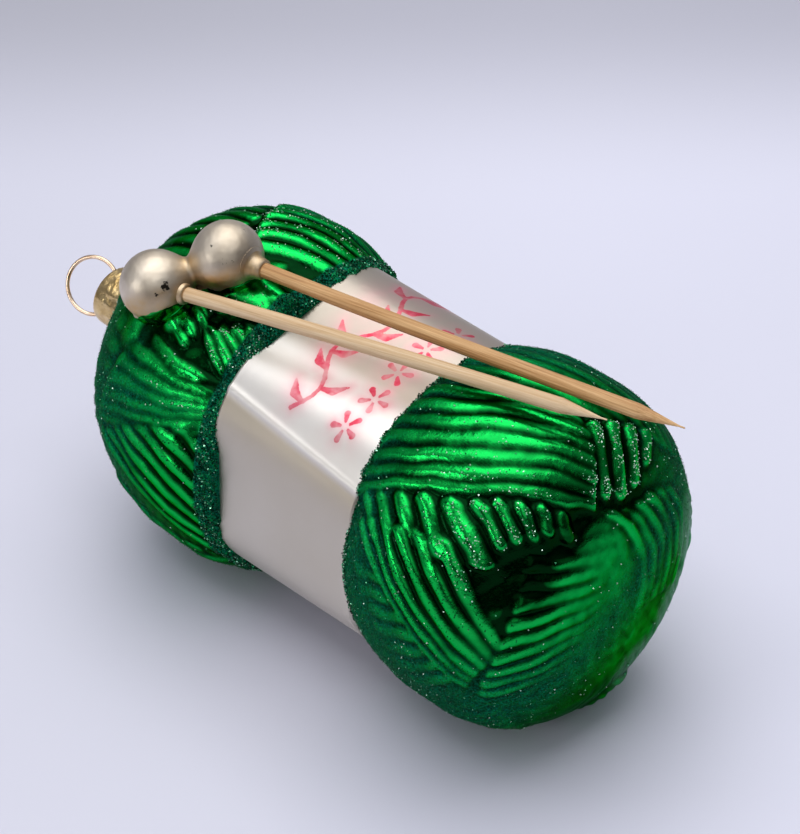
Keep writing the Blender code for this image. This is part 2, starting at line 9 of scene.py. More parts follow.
import bpy
import numpy as np
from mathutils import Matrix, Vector


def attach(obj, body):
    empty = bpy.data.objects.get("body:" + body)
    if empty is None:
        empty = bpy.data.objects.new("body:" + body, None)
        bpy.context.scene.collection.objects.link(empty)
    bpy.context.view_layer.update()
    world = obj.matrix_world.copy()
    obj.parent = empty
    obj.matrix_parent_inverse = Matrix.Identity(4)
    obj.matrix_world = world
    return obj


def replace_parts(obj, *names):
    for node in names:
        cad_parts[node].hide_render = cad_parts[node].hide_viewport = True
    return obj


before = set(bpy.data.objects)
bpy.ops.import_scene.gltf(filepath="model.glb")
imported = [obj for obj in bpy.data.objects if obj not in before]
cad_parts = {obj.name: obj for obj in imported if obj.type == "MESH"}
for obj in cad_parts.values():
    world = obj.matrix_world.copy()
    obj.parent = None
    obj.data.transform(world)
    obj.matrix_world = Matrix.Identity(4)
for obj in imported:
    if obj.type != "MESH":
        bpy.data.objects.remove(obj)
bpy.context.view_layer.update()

MM = 0.001
FRAME_X, FRAME_Y = 3.59, 0.08          # from the glass's own zero to the frame's origin
AXIS_Z = 30.0

# --- the blown form ------------------------------------------------------------------------
Lobe = namedtuple("Lobe", "x rear fore half_width half_height squareness z")
FRONT_LOBE = Lobe(x=35.4, rear=22.3, fore=22.3, half_width=27.8, half_height=29.7, squareness=2.7, z=30.1)
REAR_LOBE = Lobe(x=-25.0, rear=23.5, fore=31.0, half_width=28.3, half_height=28.9, squareness=2.5, z=29.5)
BAND_REAR_X, BAND_FRONT_X = -7.0, 21.5
BORDER_BACK, BORDER_FAR_BACK = 0.9, 3.6    # how far back the green's edge lies, and more on the far side
FAR_SIDE_FROM, FAR_SIDE_RISE, FAR_SIDE_TO = -8.0, 42.0, -150.8    # the far side, degrees round
TUCK, TUCK_AT, TUCK_REACH = 1.4, -52.0, 40.0    # the rear lobe falls in there: mm, degrees round
TUCK_BEHIND, TUCK_FADE = 15.0, 9.0     # it starts so far behind the band, and is full after so much
BAND_FLAT_RADIUS = 24.7
BAND_OVERLAP = 1.0                     # mm of the band hidden under each lobe's edge
BAND_REAR_RADIUS, BAND_FRONT_RADIUS = 27.0, 26.5
BAND_CORNERS, BAND_CORNER_AT, BAND_ROUNDING = 5, 52.0, 0.55
CREASE_AT_REAR, CREASE_AT_FRONT = 50.7, 56.9
CREASE_HEIGHT, CREASE_WIDTH = 0.30, 1.5
TOP_SHADE, TOP_SHADE_FROM, TOP_SHADE_TO = 0.75, -60.0, 28.0    # painted shade, darker and warmer, over the band's top: strength, then degrees round
SMEAR = (-6.0, 2.0, 9.0, 6.0)          # pink smear on the band: mm round, mm along, reach each way
NECK_RADIUS, NECK_END_X, NECK_Y, NECK_Z = 4.3, -58.2, -2.8, 31.3
NECK_BLEND_X = -48.2
BALL_RADIUS = 5.95
BALL_1 = (-28.9, -18.6, 56.0)
BALL_2 = (-22.0, -9.0, 60.5)
WAIST_SOFTNESS = 15.7                  # mm squared; gives the waist between the balls its radius
BALL_FOOT = ((1.2, 5.80), (2.0, 5.62), (2.6, 5.55), (3.1, 5.60), (3.6, 5.8), (4.1, 6.1), (4.6, 6.5),
             (5.3, 7.0))               # mm below the ball's centre, and radius
LACQUER_WAY = (-0.58, 0.14, 0.80)      # normal to the plane of the lacquer's ragged edge on a ball
LACQUER_BELOW, LACQUER_EDGE = 4.0, 1.2    # mm below the ball's centre, and mm over which it begins
COLLAR_1_REACH, COLLAR_2_REACH = 0.35, 1.6
WORN_SPOTS = (                         # ball, direction, size mm, strength
    (BALL_1, (0.80, -0.32, 0.50), 0.95, 1.05), (BALL_1, (0.72, -0.61, 0.32), 0.55, 0.75),
    (BALL_1, (0.28, -0.89, -0.36), 0.30, 0.80), (BALL_1, (0.93, 0.05, 0.36), 0.35, 0.8),
    (BALL_2, (0.57, -0.68, 0.46), 1.2, 0.62), (BALL_2, (0.14, -0.68, 0.72), 0.35, 0.8),
    (BALL_2, (0.40, 0.31, 0.86), 0.8, 0.55), (BALL_2, (0.75, -0.5, 0.43), 0.7, 0.6),
)
NEEDLE_RADIUS, NEEDLE_POINT = 1.22, 8.0
NEEDLE_1_TIP = (54.0, -1.5, 64.3)
NEEDLE_2_TIP = (63.0, 5.6, 63.9)
NEEDLE_BOW = 0.45
SOCKET_DEPTH, FIT_GAP = 3.2, 0.35
CAP_TOP_X, CAP_SKIRT_X = -60.5, -51.6
CAP_RADIUS, CAP_SKIRT_RADIUS, CAP_WALL = 5.5, 5.95, 0.55
CAP_CRIMPS, CAP_CRIMP_DEPTH = 16, 0.22
LOOP_RADIUS, WIRE_RADIUS = 5.1, 0.38
LOOP_TWIST, LOOP_LEAN = 60.0, 18.0
LOOP_REACH, LOOP_LEG_SPREAD, LOOP_LEG_LENGTH, LOOP_SLIP = 4.7, 2.4, 1.4, 0.4
LOOP_OPEN_HALF, LOOP_STEPS = 38.0, 72  # half the opening between the legs in degrees, steps round

# --- the wound yarn ------------------------------------------------------------------------
# A patch is a row of strands laid side by side.  They run from the edge start_low..start_high
# to the edge end_low..end_high; each corner is (degrees off +X, degrees round from the top
# towards -Y).  lift and crown are in mm, bow bends the strands sideways, in mm, depth and
# far_depth are shares of a plain strand's rise at its two ends, a spread under 1 makes the
# strands at the low edge narrower, fingers are ridges with rounded ends, and reach says how
# far along each strand runs.
Patch = namedtuple("Patch", "start_low start_high end_low end_high strands lift crown bow "
                   "depth far_depth spread fingers reach", defaults=(1.0, 1.0, 1.0, False, None))
FRONT_PATCHES = {
    "top": Patch((122, 61), (119, 14), (36, 11), (64, -5), 7, 0.28, 0.35, -0.7, 1.1, 1.0),
    "fingers": Patch((118, 58), (74, 41), (103, 70), (51, 58), 5, 0.30, 0.0, 0.0, 1.3, 1.5, 0.78, True,
                     (0.97, 0.75, 0.82, 0.93, 1.0)),
    "diagonals": Patch((115, 66), (70, 53), (58, 108), (43, 86), 6, 0.05, 0.25, -0.2, 1.9, 0.9, 0.9),
    "left": Patch((115, 80), (84, 116), (99, 77), (59, 103), 7, 0.0, 0.0, 0.0, 0.6, 1.1),
    "side": Patch((33, 7), (31, -46), (30, -159), (25, -99), 4, 0.03, 0.0, -2.0, 0.25, 0.1),
    "flank": Patch((120, -46), (119, 12), (50, -60), (62, -6), 9, 0.1, 0.3, 1.0, 0.8, 0.4),
    "foot": Patch((100, 132), (54, 112), (64, 168), (24, 160), 8, 0.0, 0.1, 0.0, 0.35, 0.1),
}
FRONT_ONCE = {
    "swirl": Patch((55, 112), (44, 48), (10, 146), (23, -7), 9, 0.0, 0.15, -0.3, 1.7, -0.4),
    "arcs": Patch((34, 8), (40, -45), (9, -120), (30, -105), 6, 0.03, 0.1, 2.0, 1.4, 0.8),
    "short_fingers": Patch((74, 41), (43, 20), (55, 53), (34, 30), 5, 0.30, 0.0, 0.0, 1.3, 1.4, 1.0, True,
                           (1.0, 0.93, 0.9, 0.8, 1.0)),
    "right": Patch((63, -4), (55, -34), (38, 7), (31, -30), 4, 0.30, 0.2, -0.8, 1.4, 1.2, 1.0, True,
                   (1.0, 1.0, 0.82, 0.55)),
}
REAR_PATCHES = {
    "crown": Patch((112, -30), (84, 8), (66, -50), (56, -6), 7, 0.4, 0.35, -2.0, 1.3, 1.1),
    "lump": Patch((85, 13), (84, 25), (60, 11), (61, 24), 2, 0.6, 0.4, 0.0),
    "stubs": Patch((83, 37), (66, 28), (65, 51), (57, 37), 5, 0.30, 0.1, 0.6, 1.5, 1.3, 1.0, True),
    "knuckle": Patch((98, 42), (84, 28), (79, 47), (76, 36), 3, 0.3, 0.2, 0.0, 1.5, 1.5, 1.0, True),
    "fan": Patch((116, 90), (98, 46), (57, 66), (62, 50), 7, 0.2, 0.3, -0.8, 0.45, 1.5),
    "slant": Patch((114, 92), (63, 63), (60, 128), (60, 70), 8, 0.05, 0.15, 0.5, 1.2, 1.5),
    "cheek": Patch((132, 104), (112, 40), (112, 92), (98, 46), 7, 0.0, 0.0, 0.0, 0.5, 0.6),
    "back": Patch((140, -50), (140, 50), (96, -40), (98, 30), 12, 0.1, 0.1, 0.0, 0.8),
    "foot": Patch((112, 112), (60, 132), (100, 165), (60, 170), 9, 0.05, 0.1, 0.0, 0.8),
}
# A hollow is pressed in between the bundles: (direction, radius mm, depth mm).  Under 0 it swells.
FRONT_HOLLOWS = (((47, 54), 2.4, 0.8), ((40, 49), 1.8, 0.8), ((38, 36), 1.8, 0.8), ((50, 64), 2.2, 0.7),
                 ((40, 60), 2.0, 0.7), ((32, -9), 1.4, 0.5), ((39, 21), 1.8, 0.9))
REAR_HOLLOWS = (((66, 51), 1.8, 0.7), ((78, 38), 1.5, 0.5), ((68, 2), 1.6, 0.5), ((96, 50), 1.6, 0.6),
                ((82, 130), 13.0, -1.4))
# A knob is a smooth bulge over the rear lobe's strands near the balls: (direction, radius mm, height mm).
REAR_KNOBS = (((69, 18), 2.9, 1.6), ((88, 41), 2.1, 1.5), ((104, 52), 3.6, 1.0))
HALF_TURNS = (0.0, 180.0)
YARN_SPHERE = 29.0
STRAND_STEEPNESS, STRAND_RISE_MOST = 0.15, 0.60    # rise of a strand over its width, and in mm
STRAND_ROUNDNESS = 0.90
WANDER = 0.40                          # mm
WANDER_WAVES = ((7.1, 14.0, 27.0), (8.3, 12.0, 31.0), (6.2, 16.0, 24.0))
EDGE_SOFTNESS, FAR_END_SOFTNESS = 0.7, 3.2    # mm; the far side's bundles end more gently
FINGER_END = 1.3                       # how rounded the ends of fingers are, mm
CREST_SCALE = 0.36                     # mm
HOLLOW_SPREAD, HOLLOW_SHADE = 1.7, 0.7  # painted shade round a hollow: reach in times its radius, shade for each mm
# A lobe's clean sides: (direction, degrees off it at which dust begins); and its dusted border's mm.
FRONT_CLEAN = ((((60, 34), 40.0),), 1.0)
REAR_CLEAN = ((((72, 18), 34.0), ((56, 96), 22.0)), 3.2)
FROST_SPREAD, BORDER_FADE = 34.0, 0.4  # degrees over which the dust thickens, and mm at the border
PALE_FACETS = (((38, -80), 13.0), ((34, -120), 12.0), ((34, -160), 12.0))   # directions and reach, degrees
UNDER_AXIS, UNDER_PITCH, UNDER_RISE = (38.0, 150.0), 4.6, 0.12    # plain strands under the bundles
RELIEF_FADE, RELIEF_AT_EDGE = 1.2, 0.3 # mm over which the relief fades at the band, and what is left

FRONT_GRID = (160, 480)                # rings and columns
REAR_GRID = (170, 480)
BAND_GRID = (96, 560)
GLITTER_SEED = 7


# --- small helpers -------------------------------------------------------------------------
def smooth_step(value):
    value = np.clip(value, 0.0, 1.0)
    return value * value * (3.0 - 2.0 * value)


def place(points):
    """Millimetres from the glass's own zero to metres in the frame."""
    return (np.asarray(points, float) + np.array([FRAME_X, FRAME_Y, 0.0])) * MM


def unit_vector(vector):
    vector = np.asarray(vector, float)
    return vector / np.linalg.norm(vector, axis=-1, keepdims=True)


def direction(from_x, round_top):
    """Unit vector from its angle off +X and its angle round from the top towards -Y."""
    off, turn = math.radians(from_x), math.radians(round_top)
    return np.array([math.cos(off), -math.sin(off) * math.sin(turn), math.sin(off) * math.cos(turn)])


def radians_away(unit, at, turn=0.0):
    """The angle of each direction from a place, which can be turned further round."""
    return np.arccos(np.clip(unit @ direction(at[0], at[1] + turn), -1.0, 1.0))


def degrees_away(unit, at, turn=0.0):
    return np.degrees(radians_away(unit, at, turn))


def mm_away(unit, at):
    return radians_away(unit, at) * YARN_SPHERE


def half_turns(angle):
    """The same angle, from half a turn back to half a turn on, in radians."""
    return (angle + math.pi) % (2.0 * math.pi) - math.pi


def degrees_round(turn):
    return np.degrees(half_turns(turn))


def full_circle(count):
    """Angles that share out one turn."""
    return np.linspace(0.0, 2.0 * math.pi, count, endpoint=False)


def toward(start, end, distance):
    start, end = Vector(start), Vector(end)
    return start + (end - start).normalized() * distance


def soften(grid, passes=1):
    """Blurs a grid of rings and columns; the columns run round and meet."""
    for _ in range(passes):
        grid = 0.25 * np.roll(grid, 1, 1) + 0.5 * grid + 0.25 * np.roll(grid, -1, 1)
        inner = 0.25 * grid[:-2] + 0.5 * grid[1:-1] + 0.25 * grid[2:]
        grid = np.concatenate([grid[:1], inner, grid[-1:]])
    return grid


def add_object(name, data):
    made = bpy.data.objects.new(name, data)
    bpy.context.scene.collection.objects.link(made)
    return made


def add_mesh(name, points, faces, finish, values=None):
    """A smooth mesh from points in metres, with named values at them."""
    mesh = bpy.data.meshes.new(name)
    mesh.from_pydata(points, [], faces)
    for label, each in (values or {}).items():
        mesh.attributes.new(label, "FLOAT", "POINT").data.foreach_set("value", each)
    mesh.materials.append(finish)
    mesh.shade_smooth()
    return add_object(name, mesh)


def new_piece(name, points, faces, finish, values=None):
    """A piece that rides on the one body; points are in mm from the glass's zero."""
    piece = add_mesh(name, place(points).tolist(), faces, finish, values)
    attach(piece, "root")
    return piece


def with_poles(grid):
    """A grid's points in one row, and one more at the middle of each end ring."""
    return np.concatenate([grid.reshape(-1, 3), [grid[0].mean(0), grid[-1].mean(0)]])


def round_piece(name, grid, finish, slot, **values):
    """A closed piece over a grid of rings and columns, with named values at its points."""
    rows = {label: np.append(each.ravel(), [each[0].mean(), each[-1].mean()])
            for label, each in values.items()}
    return new_piece(name, with_poles(grid), grid_faces(*grid.shape[:2]), finish, rows)


def grid_faces(rings, columns):
    """Faces of a grid that closes on itself round the columns, with a fan to a pole at each end."""
    ring, column = np.meshgrid(np.arange(rings - 1), np.arange(columns), indexing="ij")
    here, beside = ring * columns + column, ring * columns + (column + 1) % columns
    faces = np.stack([here, beside, beside + columns, here + columns], -1).reshape(-1, 4).tolist()
    pole, last = rings * columns, (rings - 1) * columns
    for column in range(columns):
        beside = (column + 1) % columns
        faces.append((pole, beside, column))
        faces.append((pole + 1, last + column, last + beside))
    return faces


def grid_normals(points):
    """Outward normals of a grid of rings (along +X) and columns (round from the top towards -Y)."""
    round_way = np.roll(points, -1, 1) - np.roll(points, 1, 1)
    long_way = np.gradient(points, axis=0)
    return unit_vector(np.cross(round_way, long_way) + 1e-9)


# --- materials -----------------------------------------------------------------------------
class Graph:
    """One material and short-hand for adding nodes to it."""

    def __init__(self, name):
        self.material = bpy.data.materials.new(name)
        self.material.use_nodes = True
        self.tree = self.material.node_tree
        self.shader = self.tree.nodes["Principled BSDF"]

    def add(self, kind, output=0, settings=None, **inputs):
        """A node whose inputs are numbers or other nodes' sockets; returns its output socket."""
        made = self.tree.nodes.new(kind)
        for label, value in (settings or {}).items():
            setattr(made, label, value)
        for label, value in inputs.items():
            self.feed(made.inputs[int(label[1:]) if label[1:].isdigit() else label.replace("_", " ")], value)
        return made.outputs[output]

    def feed(self, socket, value):
        if isinstance(value, bpy.types.NodeSocket):
            self.tree.links.new(value, socket)
        else:
            socket.default_value = value

    def finish(self, **inputs):
        for label, value in inputs.items():
            self.feed(self.shader.inputs[label.replace("_", " ")], value)
        return self.material

    def place(self):
        return self.add("ShaderNodeTexCoord", output="Object")

    def attribute(self, name):
        return self.add("ShaderNodeAttribute", output="Fac", settings={"attribute_name": name})

    def noise(self, scale, detail=3.0, roughness=0.5, vector=None):
        return self.add("ShaderNodeTexNoise", Vector=vector or self.place(), Scale=scale, Detail=detail,
                        Roughness=roughness)

    def ramp(self, factor, *stops):
        made = self.tree.nodes.new("ShaderNodeValToRGB")
        elements = made.color_ramp.elements
        for index, (at, colour) in enumerate(stops):
            element = elements[index] if index < 2 else elements.new(at)
            element.position = at
            element.color = (*colour, 1.0) if isinstance(colour, tuple) else (colour, colour, colour, 1.0)
        self.tree.links.new(factor, made.inputs[0])
        return made.outputs[0]

    def math(self, operation, first, second):
        return self.add("ShaderNodeMath", settings={"operation": operation}, _0=first, _1=second)

    def plus(self, first, second):
        return self.math("ADD", first, second)

    def times(self, first, second):
        return self.math("MULTIPLY", first, second)

    def swing(self, noise, amount):
        """A noise about zero, times an amount."""
        return self.times(self.math("SUBTRACT", noise, 0.5), amount)

    def mix(self, factor, first, second):
        made = self.tree.nodes.new("ShaderNodeMix")
        made.data_type = "RGBA"
        for socket, value in ((made.inputs[0], factor), (made.inputs[6], first), (made.inputs[7], second)):
            self.feed(socket, (*value, 1.0) if isinstance(value, tuple) and len(value) == 3 else value)
        return made.outputs[2]

    def bump(self, height, distance, strength=1.0, normal=None):
        made = self.tree.nodes.new("ShaderNodeBump")
        made.inputs["Distance"].default_value = distance
        made.inputs["Strength"].default_value = strength
        self.tree.links.new(height, made.inputs["Height"])
        if normal is not None:
            self.tree.links.new(normal, made.inputs["Normal"])
        return made.outputs[0]


def green_lacquer():
    """Clear green lacquer over silvering: bright on crests, darker in valleys and hollows (partly thicker
    lacquer there, partly painted shade), dusted low down.
    """
    graph = Graph("green_lacquer")
    uneven = graph.noise(430.0, 3.0)
    mottle = graph.plus(graph.swing(graph.noise(90.0, 3.0), 0.4), graph.swing(uneven, 0.55))
    # Dark in the valleys, partly thicker lacquer and partly painted shade; the crest value also carries the
    # painted shade of the hollows.
    lacquer = graph.ramp(graph.plus(graph.attribute("crest"), mottle), (0.15, (0.0004, 0.016, 0.003)),
                         (0.45, (0.0012, 0.13, 0.018)), (0.85, (0.006, 0.44, 0.066)))
    grain = graph.noise(2600.0, 3.0, 0.7)
    frost = graph.times(graph.attribute("frost"), graph.ramp(grain, (0.32, 0.40), (0.56, 1.0)))
    dusted = graph.ramp(graph.noise(3300.0, 2.0, 0.6), (0.40, (0.001, 0.022, 0.016)),
                        (0.60, (0.003, 0.19, 0.110)))
    pale = graph.times(graph.attribute("pale"), graph.ramp(grain, (0.36, 0.15), (0.62, 1.0)))
    colour = graph.mix(pale, graph.mix(frost, lacquer, dusted), (0.05, 0.22, 0.11))
    veiled = graph.math("MAXIMUM", graph.times(frost, 0.10), graph.times(pale, 0.45))
    metal = graph.math("SUBTRACT", 1.0, veiled)
    dull = graph.plus(graph.ramp(graph.noise(60.0, 2.0), (0.35, 0.17), (0.7, 0.28)), graph.times(frost, 0.30))
    roughened = graph.times(grain, graph.plus(graph.attribute("frost"), 0.18))
    normal = graph.bump(roughened, 0.0003, 0.7, graph.bump(uneven, 0.00035, 0.6))
    return graph.finish(Base_Color=colour, Metallic=metal, Roughness=dull, Normal=normal, Coat_Weight=0.015,
                        Coat_Roughness=0.06, Specular_IOR_Level=0.15, Specular_Tint=(0.10, 0.42, 0.26, 1.0))


def pearl():
    """Warm pearly white lacquer on the band, with painted shade below its creases and over its top, red
    brushwork and its pink smears.
    """
    graph = Graph("pearl_lacquer")
    even = graph.ramp(graph.noise(60.0, 4.0), (0.3, (0.82, 0.78, 0.72)), (0.7, (0.90, 0.87, 0.83)))
    # Painted shade: a darker, warmer colour below the creases and over the band's top.
    base = graph.mix(graph.attribute("age"), even, (0.42, 0.355, 0.265))
    cloudy = graph.ramp(graph.noise(170.0, 3.0), (0.3, 0.15), (0.7, 1.0))
    tinted = graph.mix(graph.times(graph.attribute("blush"), cloudy), base, (0.86, 0.36, 0.42))
    edge = graph.plus(graph.attribute("paint"), graph.swing(graph.noise(1400.0, 2.0), 0.25))
    cover = graph.ramp(edge, (0.46, 0.0), (0.56, 1.0))
    thin = graph.ramp(graph.noise(700.0, 3.0), (0.32, 0.35), (0.62, 1.0))
    red = graph.mix(thin, (0.80, 0.20, 0.27), (0.68, 0.035, 0.085))
    watery = graph.ramp(graph.noise(330.0, 3.0), (0.36, 0.45), (0.60, 0.95))
    painted = graph.mix(graph.times(cover, watery), tinted, red)
    normal = graph.bump(graph.noise(500.0, 3.0), 0.00008, 0.35)
    return graph.finish(Base_Color=painted, Metallic=0.95, Roughness=0.44, Normal=normal)


def champagne():
    """Satin champagne silvering of the balls: worn specks, a golden tint that is painted shade low down and
    at the waist, green lacquer at their feet.
    """
    graph = Graph("champagne_silver")
    tone = graph.ramp(graph.noise(160.0, 4.0), (0.3, (0.50, 0.42, 0.32)), (0.7, (0.72, 0.64, 0.53)))
    patchy = graph.ramp(graph.noise(320.0, 3.0), (0.35, 0.35), (0.6, 1.0))
    # Golden tint: even on the feet and collars; on the balls it is painted shade, low down and at the waist.
    gilded_and_shaded = graph.mix(graph.times(graph.attribute("gilt"), patchy), tone, (0.52, 0.33, 0.12))
    speckle = graph.swing(graph.noise(900.0, 4.0, 0.75), 2.4)
    worn = graph.ramp(graph.plus(graph.attribute("wear"), speckle), (0.62, 0.0), (0.72, 1.0))
    specked = graph.mix(worn, gilded_and_shaded, (0.03, 0.025, 0.02))
    ragged = graph.swing(graph.noise(420.0, 3.0), 0.9)
    lacquer = graph.ramp(graph.plus(graph.attribute("lacquer"), ragged), (0.47, 0.0), (0.53, 1.0))
    colour = graph.mix(lacquer, specked, (0.004, 0.36, 0.055))
    dull = graph.mix(lacquer, (0.47, 0.47, 0.47), (0.16, 0.16, 0.16))
    dented = graph.bump(graph.noise(240.0, 2.0), 0.0006, 0.5)
    normal = graph.bump(graph.noise(900.0, 3.0), 0.00008, 0.4, dented)
    return graph.finish(Base_Color=colour, Metallic=1.0, Roughness=dull, Normal=normal)


def bamboo():
    """Split bamboo: pale straw with darker lengthwise fibres; the needle's length is its local X."""
    graph = Graph("bamboo")
    stretched = graph.add("ShaderNodeMapping", Vector=graph.place(), Scale=(0.02, 1.0, 1.0))
    fibres = graph.noise(2600.0, 4.0, 0.7, stretched)
    streaks = graph.noise(900.0, 2.0, 0.5, stretched)
    mixed = graph.plus(graph.times(fibres, 0.65), graph.times(streaks, 0.35))
    pale = graph.ramp(mixed, (0.30, (0.34, 0.17, 0.07)), (0.44, (0.64, 0.42, 0.22)),
                      (0.62, (0.80, 0.60, 0.38)))
    brown = graph.ramp(mixed, (0.34, (0.20, 0.080, 0.022)), (0.48, (0.52, 0.27, 0.095)),
                       (0.64, (0.78, 0.50, 0.24)))
    colour = graph.mix(graph.attribute("brown"), pale, brown)
    normal = graph.bump(fibres, 0.0002, 0.7)
    return graph.finish(Base_Color=colour, Roughness=0.55, Normal=normal)


def glitter():
    """Green plastic flakes, each with its own shade."""
    graph = Graph("green_glitter")
    colour = graph.ramp(graph.attribute("flake"), (0.0, (0.002, 0.05, 0.02)), (0.6, (0.01, 0.22, 0.09)),
                        (1.0, (0.35, 0.75, 0.5)))
    return graph.finish(Base_Color=colour, Metallic=0.85, Roughness=0.22)


def sparkle():
    """Silvery green flakes that catch the light."""
    graph = Graph("bright_glitter")
    colour = graph.ramp(graph.attribute("flake"), (0.0, (0.10, 0.55, 0.25)), (0.5, (0.80, 1.0, 0.86)))
    return graph.finish(Base_Color=colour, Metallic=0.4, Roughness=0.25)


def gold_cap():
    graph = Graph("gold_cap")
    tone = graph.ramp(graph.noise(350.0, 4.0), (0.3, (0.50, 0.32, 0.11)), (0.7, (0.84, 0.64, 0.33)))
    dented = graph.bump(graph.noise(420.0, 3.0), 0.0008, 0.7)
    normal = graph.bump(graph.noise(1200.0, 3.0), 0.0001, 0.5, dented)
    return graph.finish(Base_Color=tone, Metallic=1.0, Roughness=0.28, Normal=normal)


def gilt_wire():
    graph = Graph("gilt_wire")
    tone = graph.ramp(graph.noise(500.0, 3.0), (0.3, (0.70, 0.47, 0.30)), (0.7, (0.86, 0.70, 0.54)))
    return graph.finish(Base_Color=tone, Metallic=1.0, Roughness=0.24)


# --- yarn relief ---------------------------------------------------------------------------
def strand_profile(position):
    """A strand's rounded back between its two valleys: 0 in a valley, 1 on top."""
    across = 2.0 * (position - np.floor(position)) - 1.0
    valley = math.sqrt(1.0 - STRAND_ROUNDNESS)
    return (np.sqrt(1.0 - STRAND_ROUNDNESS * across * across) - valley) / (1.0 - valley)


def wandering(unit):
    """Directions nudged by a smooth uneven wander, so that no strand runs quite true."""
    nudge = np.zeros_like(unit)
    for axis, (slow, quick, fine) in enumerate(WANDER_WAVES):
        other, third = unit[..., (axis + 1) % 3], unit[..., (axis + 2) % 3]
        swell = np.sin(slow * other + 2.1 * third + axis)
        ripple = 0.6 * np.sin(quick * third - 5.0 * other + 2.0 * axis)
        nudge[..., axis] = swell + ripple + 0.3 * np.sin(fine * other + 11.0 * third)
    return unit_vector(unit + nudge * WANDER / YARN_SPHERE)


def patch_shares(unit, patch, turn):
    """Each direction's shares along and across a patch, their mm per share, and whether it is found."""
    corners = [direction(corner[0], corner[1] + turn)
               for corner in (patch.start_low, patch.start_high, patch.end_low, patch.end_high)]
    middle = unit_vector(sum(corners))
    along_way = corners[2] + corners[3] - corners[0] - corners[1]
    along_way = unit_vector(along_way - middle * (along_way @ middle))
    across_way = np.cross(middle, along_way)

    def flat(vectors):
        both = np.concatenate([vectors @ along_way[:, None], vectors @ across_way[:, None]], -1)
        return both / np.maximum(vectors @ middle, 0.15)[..., None] * YARN_SPHERE

    low_start, high_start, low_end, high_end = (flat(corner[None])[0] for corner in corners)
    ahead, sideways = low_end - low_start, high_start - low_start
    shear = high_end - high_start - ahead
    bow_way = np.array([0.0, 1.0 if sideways[1] > 0 else -1.0]) * patch.bow
    target = flat(unit)
    u = np.full(unit.shape[:-1], 0.5)
    v = np.full(unit.shape[:-1], 0.5)
    for _ in range(9):
        there = (low_start + u[..., None] * ahead + v[..., None] * sideways + (u * v)[..., None] * shear
                 + (4.0 * u * (1.0 - u))[..., None] * bow_way)
        by_u = ahead + v[..., None] * shear + (4.0 * (1.0 - 2.0 * u))[..., None] * bow_way
        by_v = sideways + u[..., None] * shear
        miss = target - there
        area = by_u[..., 0] * by_v[..., 1] - by_u[..., 1] * by_v[..., 0]
        area = np.where(np.abs(area) < 1e-3, 1e-3, area)
        u = np.clip(u + (miss[..., 0] * by_v[..., 1] - miss[..., 1] * by_v[..., 0]) / area, -0.7, 1.7)
        v = np.clip(v + (by_u[..., 0] * miss[..., 1] - by_u[..., 1] * miss[..., 0]) / area, -0.7, 1.7)
    found = (unit @ middle > 0.3) & (np.linalg.norm(miss, axis=-1) < 0.3)
    return u, v, np.linalg.norm(by_u, axis=-1), np.linalg.norm(by_v, axis=-1), found


def ridge_profile(position):
    """A finger's ridge between two broad valleys: 0 in a valley, 1 on top."""
    return 0.5 * strand_profile(position) + 0.25 - 0.25 * np.cos(2.0 * math.pi * position)


def patch_height(unit, patch, turn):
    u, v, along_mm, across_mm, found = patch_shares(unit, patch, turn)
    position = np.sign(v) * np.abs(v) ** patch.spread * patch.strands
    strand = np.clip(np.floor(position), 0, patch.strands - 1).astype(int)
    across = 2.0 * (position - np.floor(position)) - 1.0
    wander = 0.5 + 0.5 * np.sin(7.3 * strand + 1.7 * patch.strands + turn)
    reach = np.array(patch.reach or [1.0] * patch.strands)[strand]
    past_end = np.minimum(u, reach - u) * along_mm
    if patch.fingers:
        inside = smooth_step((past_end - FINGER_END * across * across) / EDGE_SOFTNESS)
    else:
        inside = smooth_step(0.5 + 0.4 * past_end / (FAR_END_SOFTNESS if turn else EDGE_SOFTNESS))
    past_side = np.minimum(v, 1.0 - v) * across_mm
    inside = inside * smooth_step(0.5 + past_side / EDGE_SOFTNESS) * found
    depth = np.maximum(patch.depth + (patch.far_depth - patch.depth) * np.clip(u, 0.0, 1.0), 0.0)
    rise = np.minimum(STRAND_STEEPNESS * across_mm / patch.strands, STRAND_RISE_MOST) * depth
    crown = patch.crown * np.clip(1.0 - (2.0 * v - 1.0) ** 2, 0.0, 1.0)
    swell = 1.0 + 0.25 * np.sin(9.0 * u + 2.4 * strand)
    profile = ridge_profile if patch.fingers else strand_profile
    height = patch.lift * (1.0 + 0.25 * wander) + crown + rise * profile(position) * swell
    return height * inside


def yarn_height(unit, patches, once, hollows, knobs):
    unit = wandering(unit)
    under_lat = np.degrees(np.arcsin(np.clip(unit @ direction(*UNDER_AXIS), -1.0, 1.0)))
    relief = UNDER_RISE * strand_profile(under_lat / UNDER_PITCH)
    for turn in HALF_TURNS:
        for patch in patches.values():
            relief = np.maximum(relief, patch_height(unit, patch, turn))
    for patch in once.values():
        relief = np.maximum(relief, patch_height(unit, patch, 0.0))
    for at, radius, height in knobs:
        relief = np.maximum(relief, height * np.exp(-((mm_away(unit, at) / radius) ** 2)))
    for at, radius, depth in hollows:
        relief = relief - depth * np.exp(-((mm_away(unit, at) / radius) ** 2))
    return relief


def lobe_section(lobe, x):
    reach = np.where(x < lobe.x, (lobe.x - x) / lobe.rear, (x - lobe.x) / lobe.fore)
    return np.clip(1.0 - np.clip(reach, 0.0, 1.0) ** lobe.squareness, 0.0, 1.0) ** (1.0 / lobe.squareness)


def lobe_stations(lobe, x_from, x_to, count):
    def angle(x):
        reach = (lobe.x - x) / lobe.rear if x < lobe.x else (lobe.x - x) / lobe.fore
        return math.acos(max(-1.0, min(1.0, reach)))
    stations = []
    for step in np.linspace(angle(x_from), angle(x_to), count):
        reach = math.cos(step)
        stations.append(lobe.x - reach * (lobe.rear if reach > 0 else lobe.fore))
    return stations


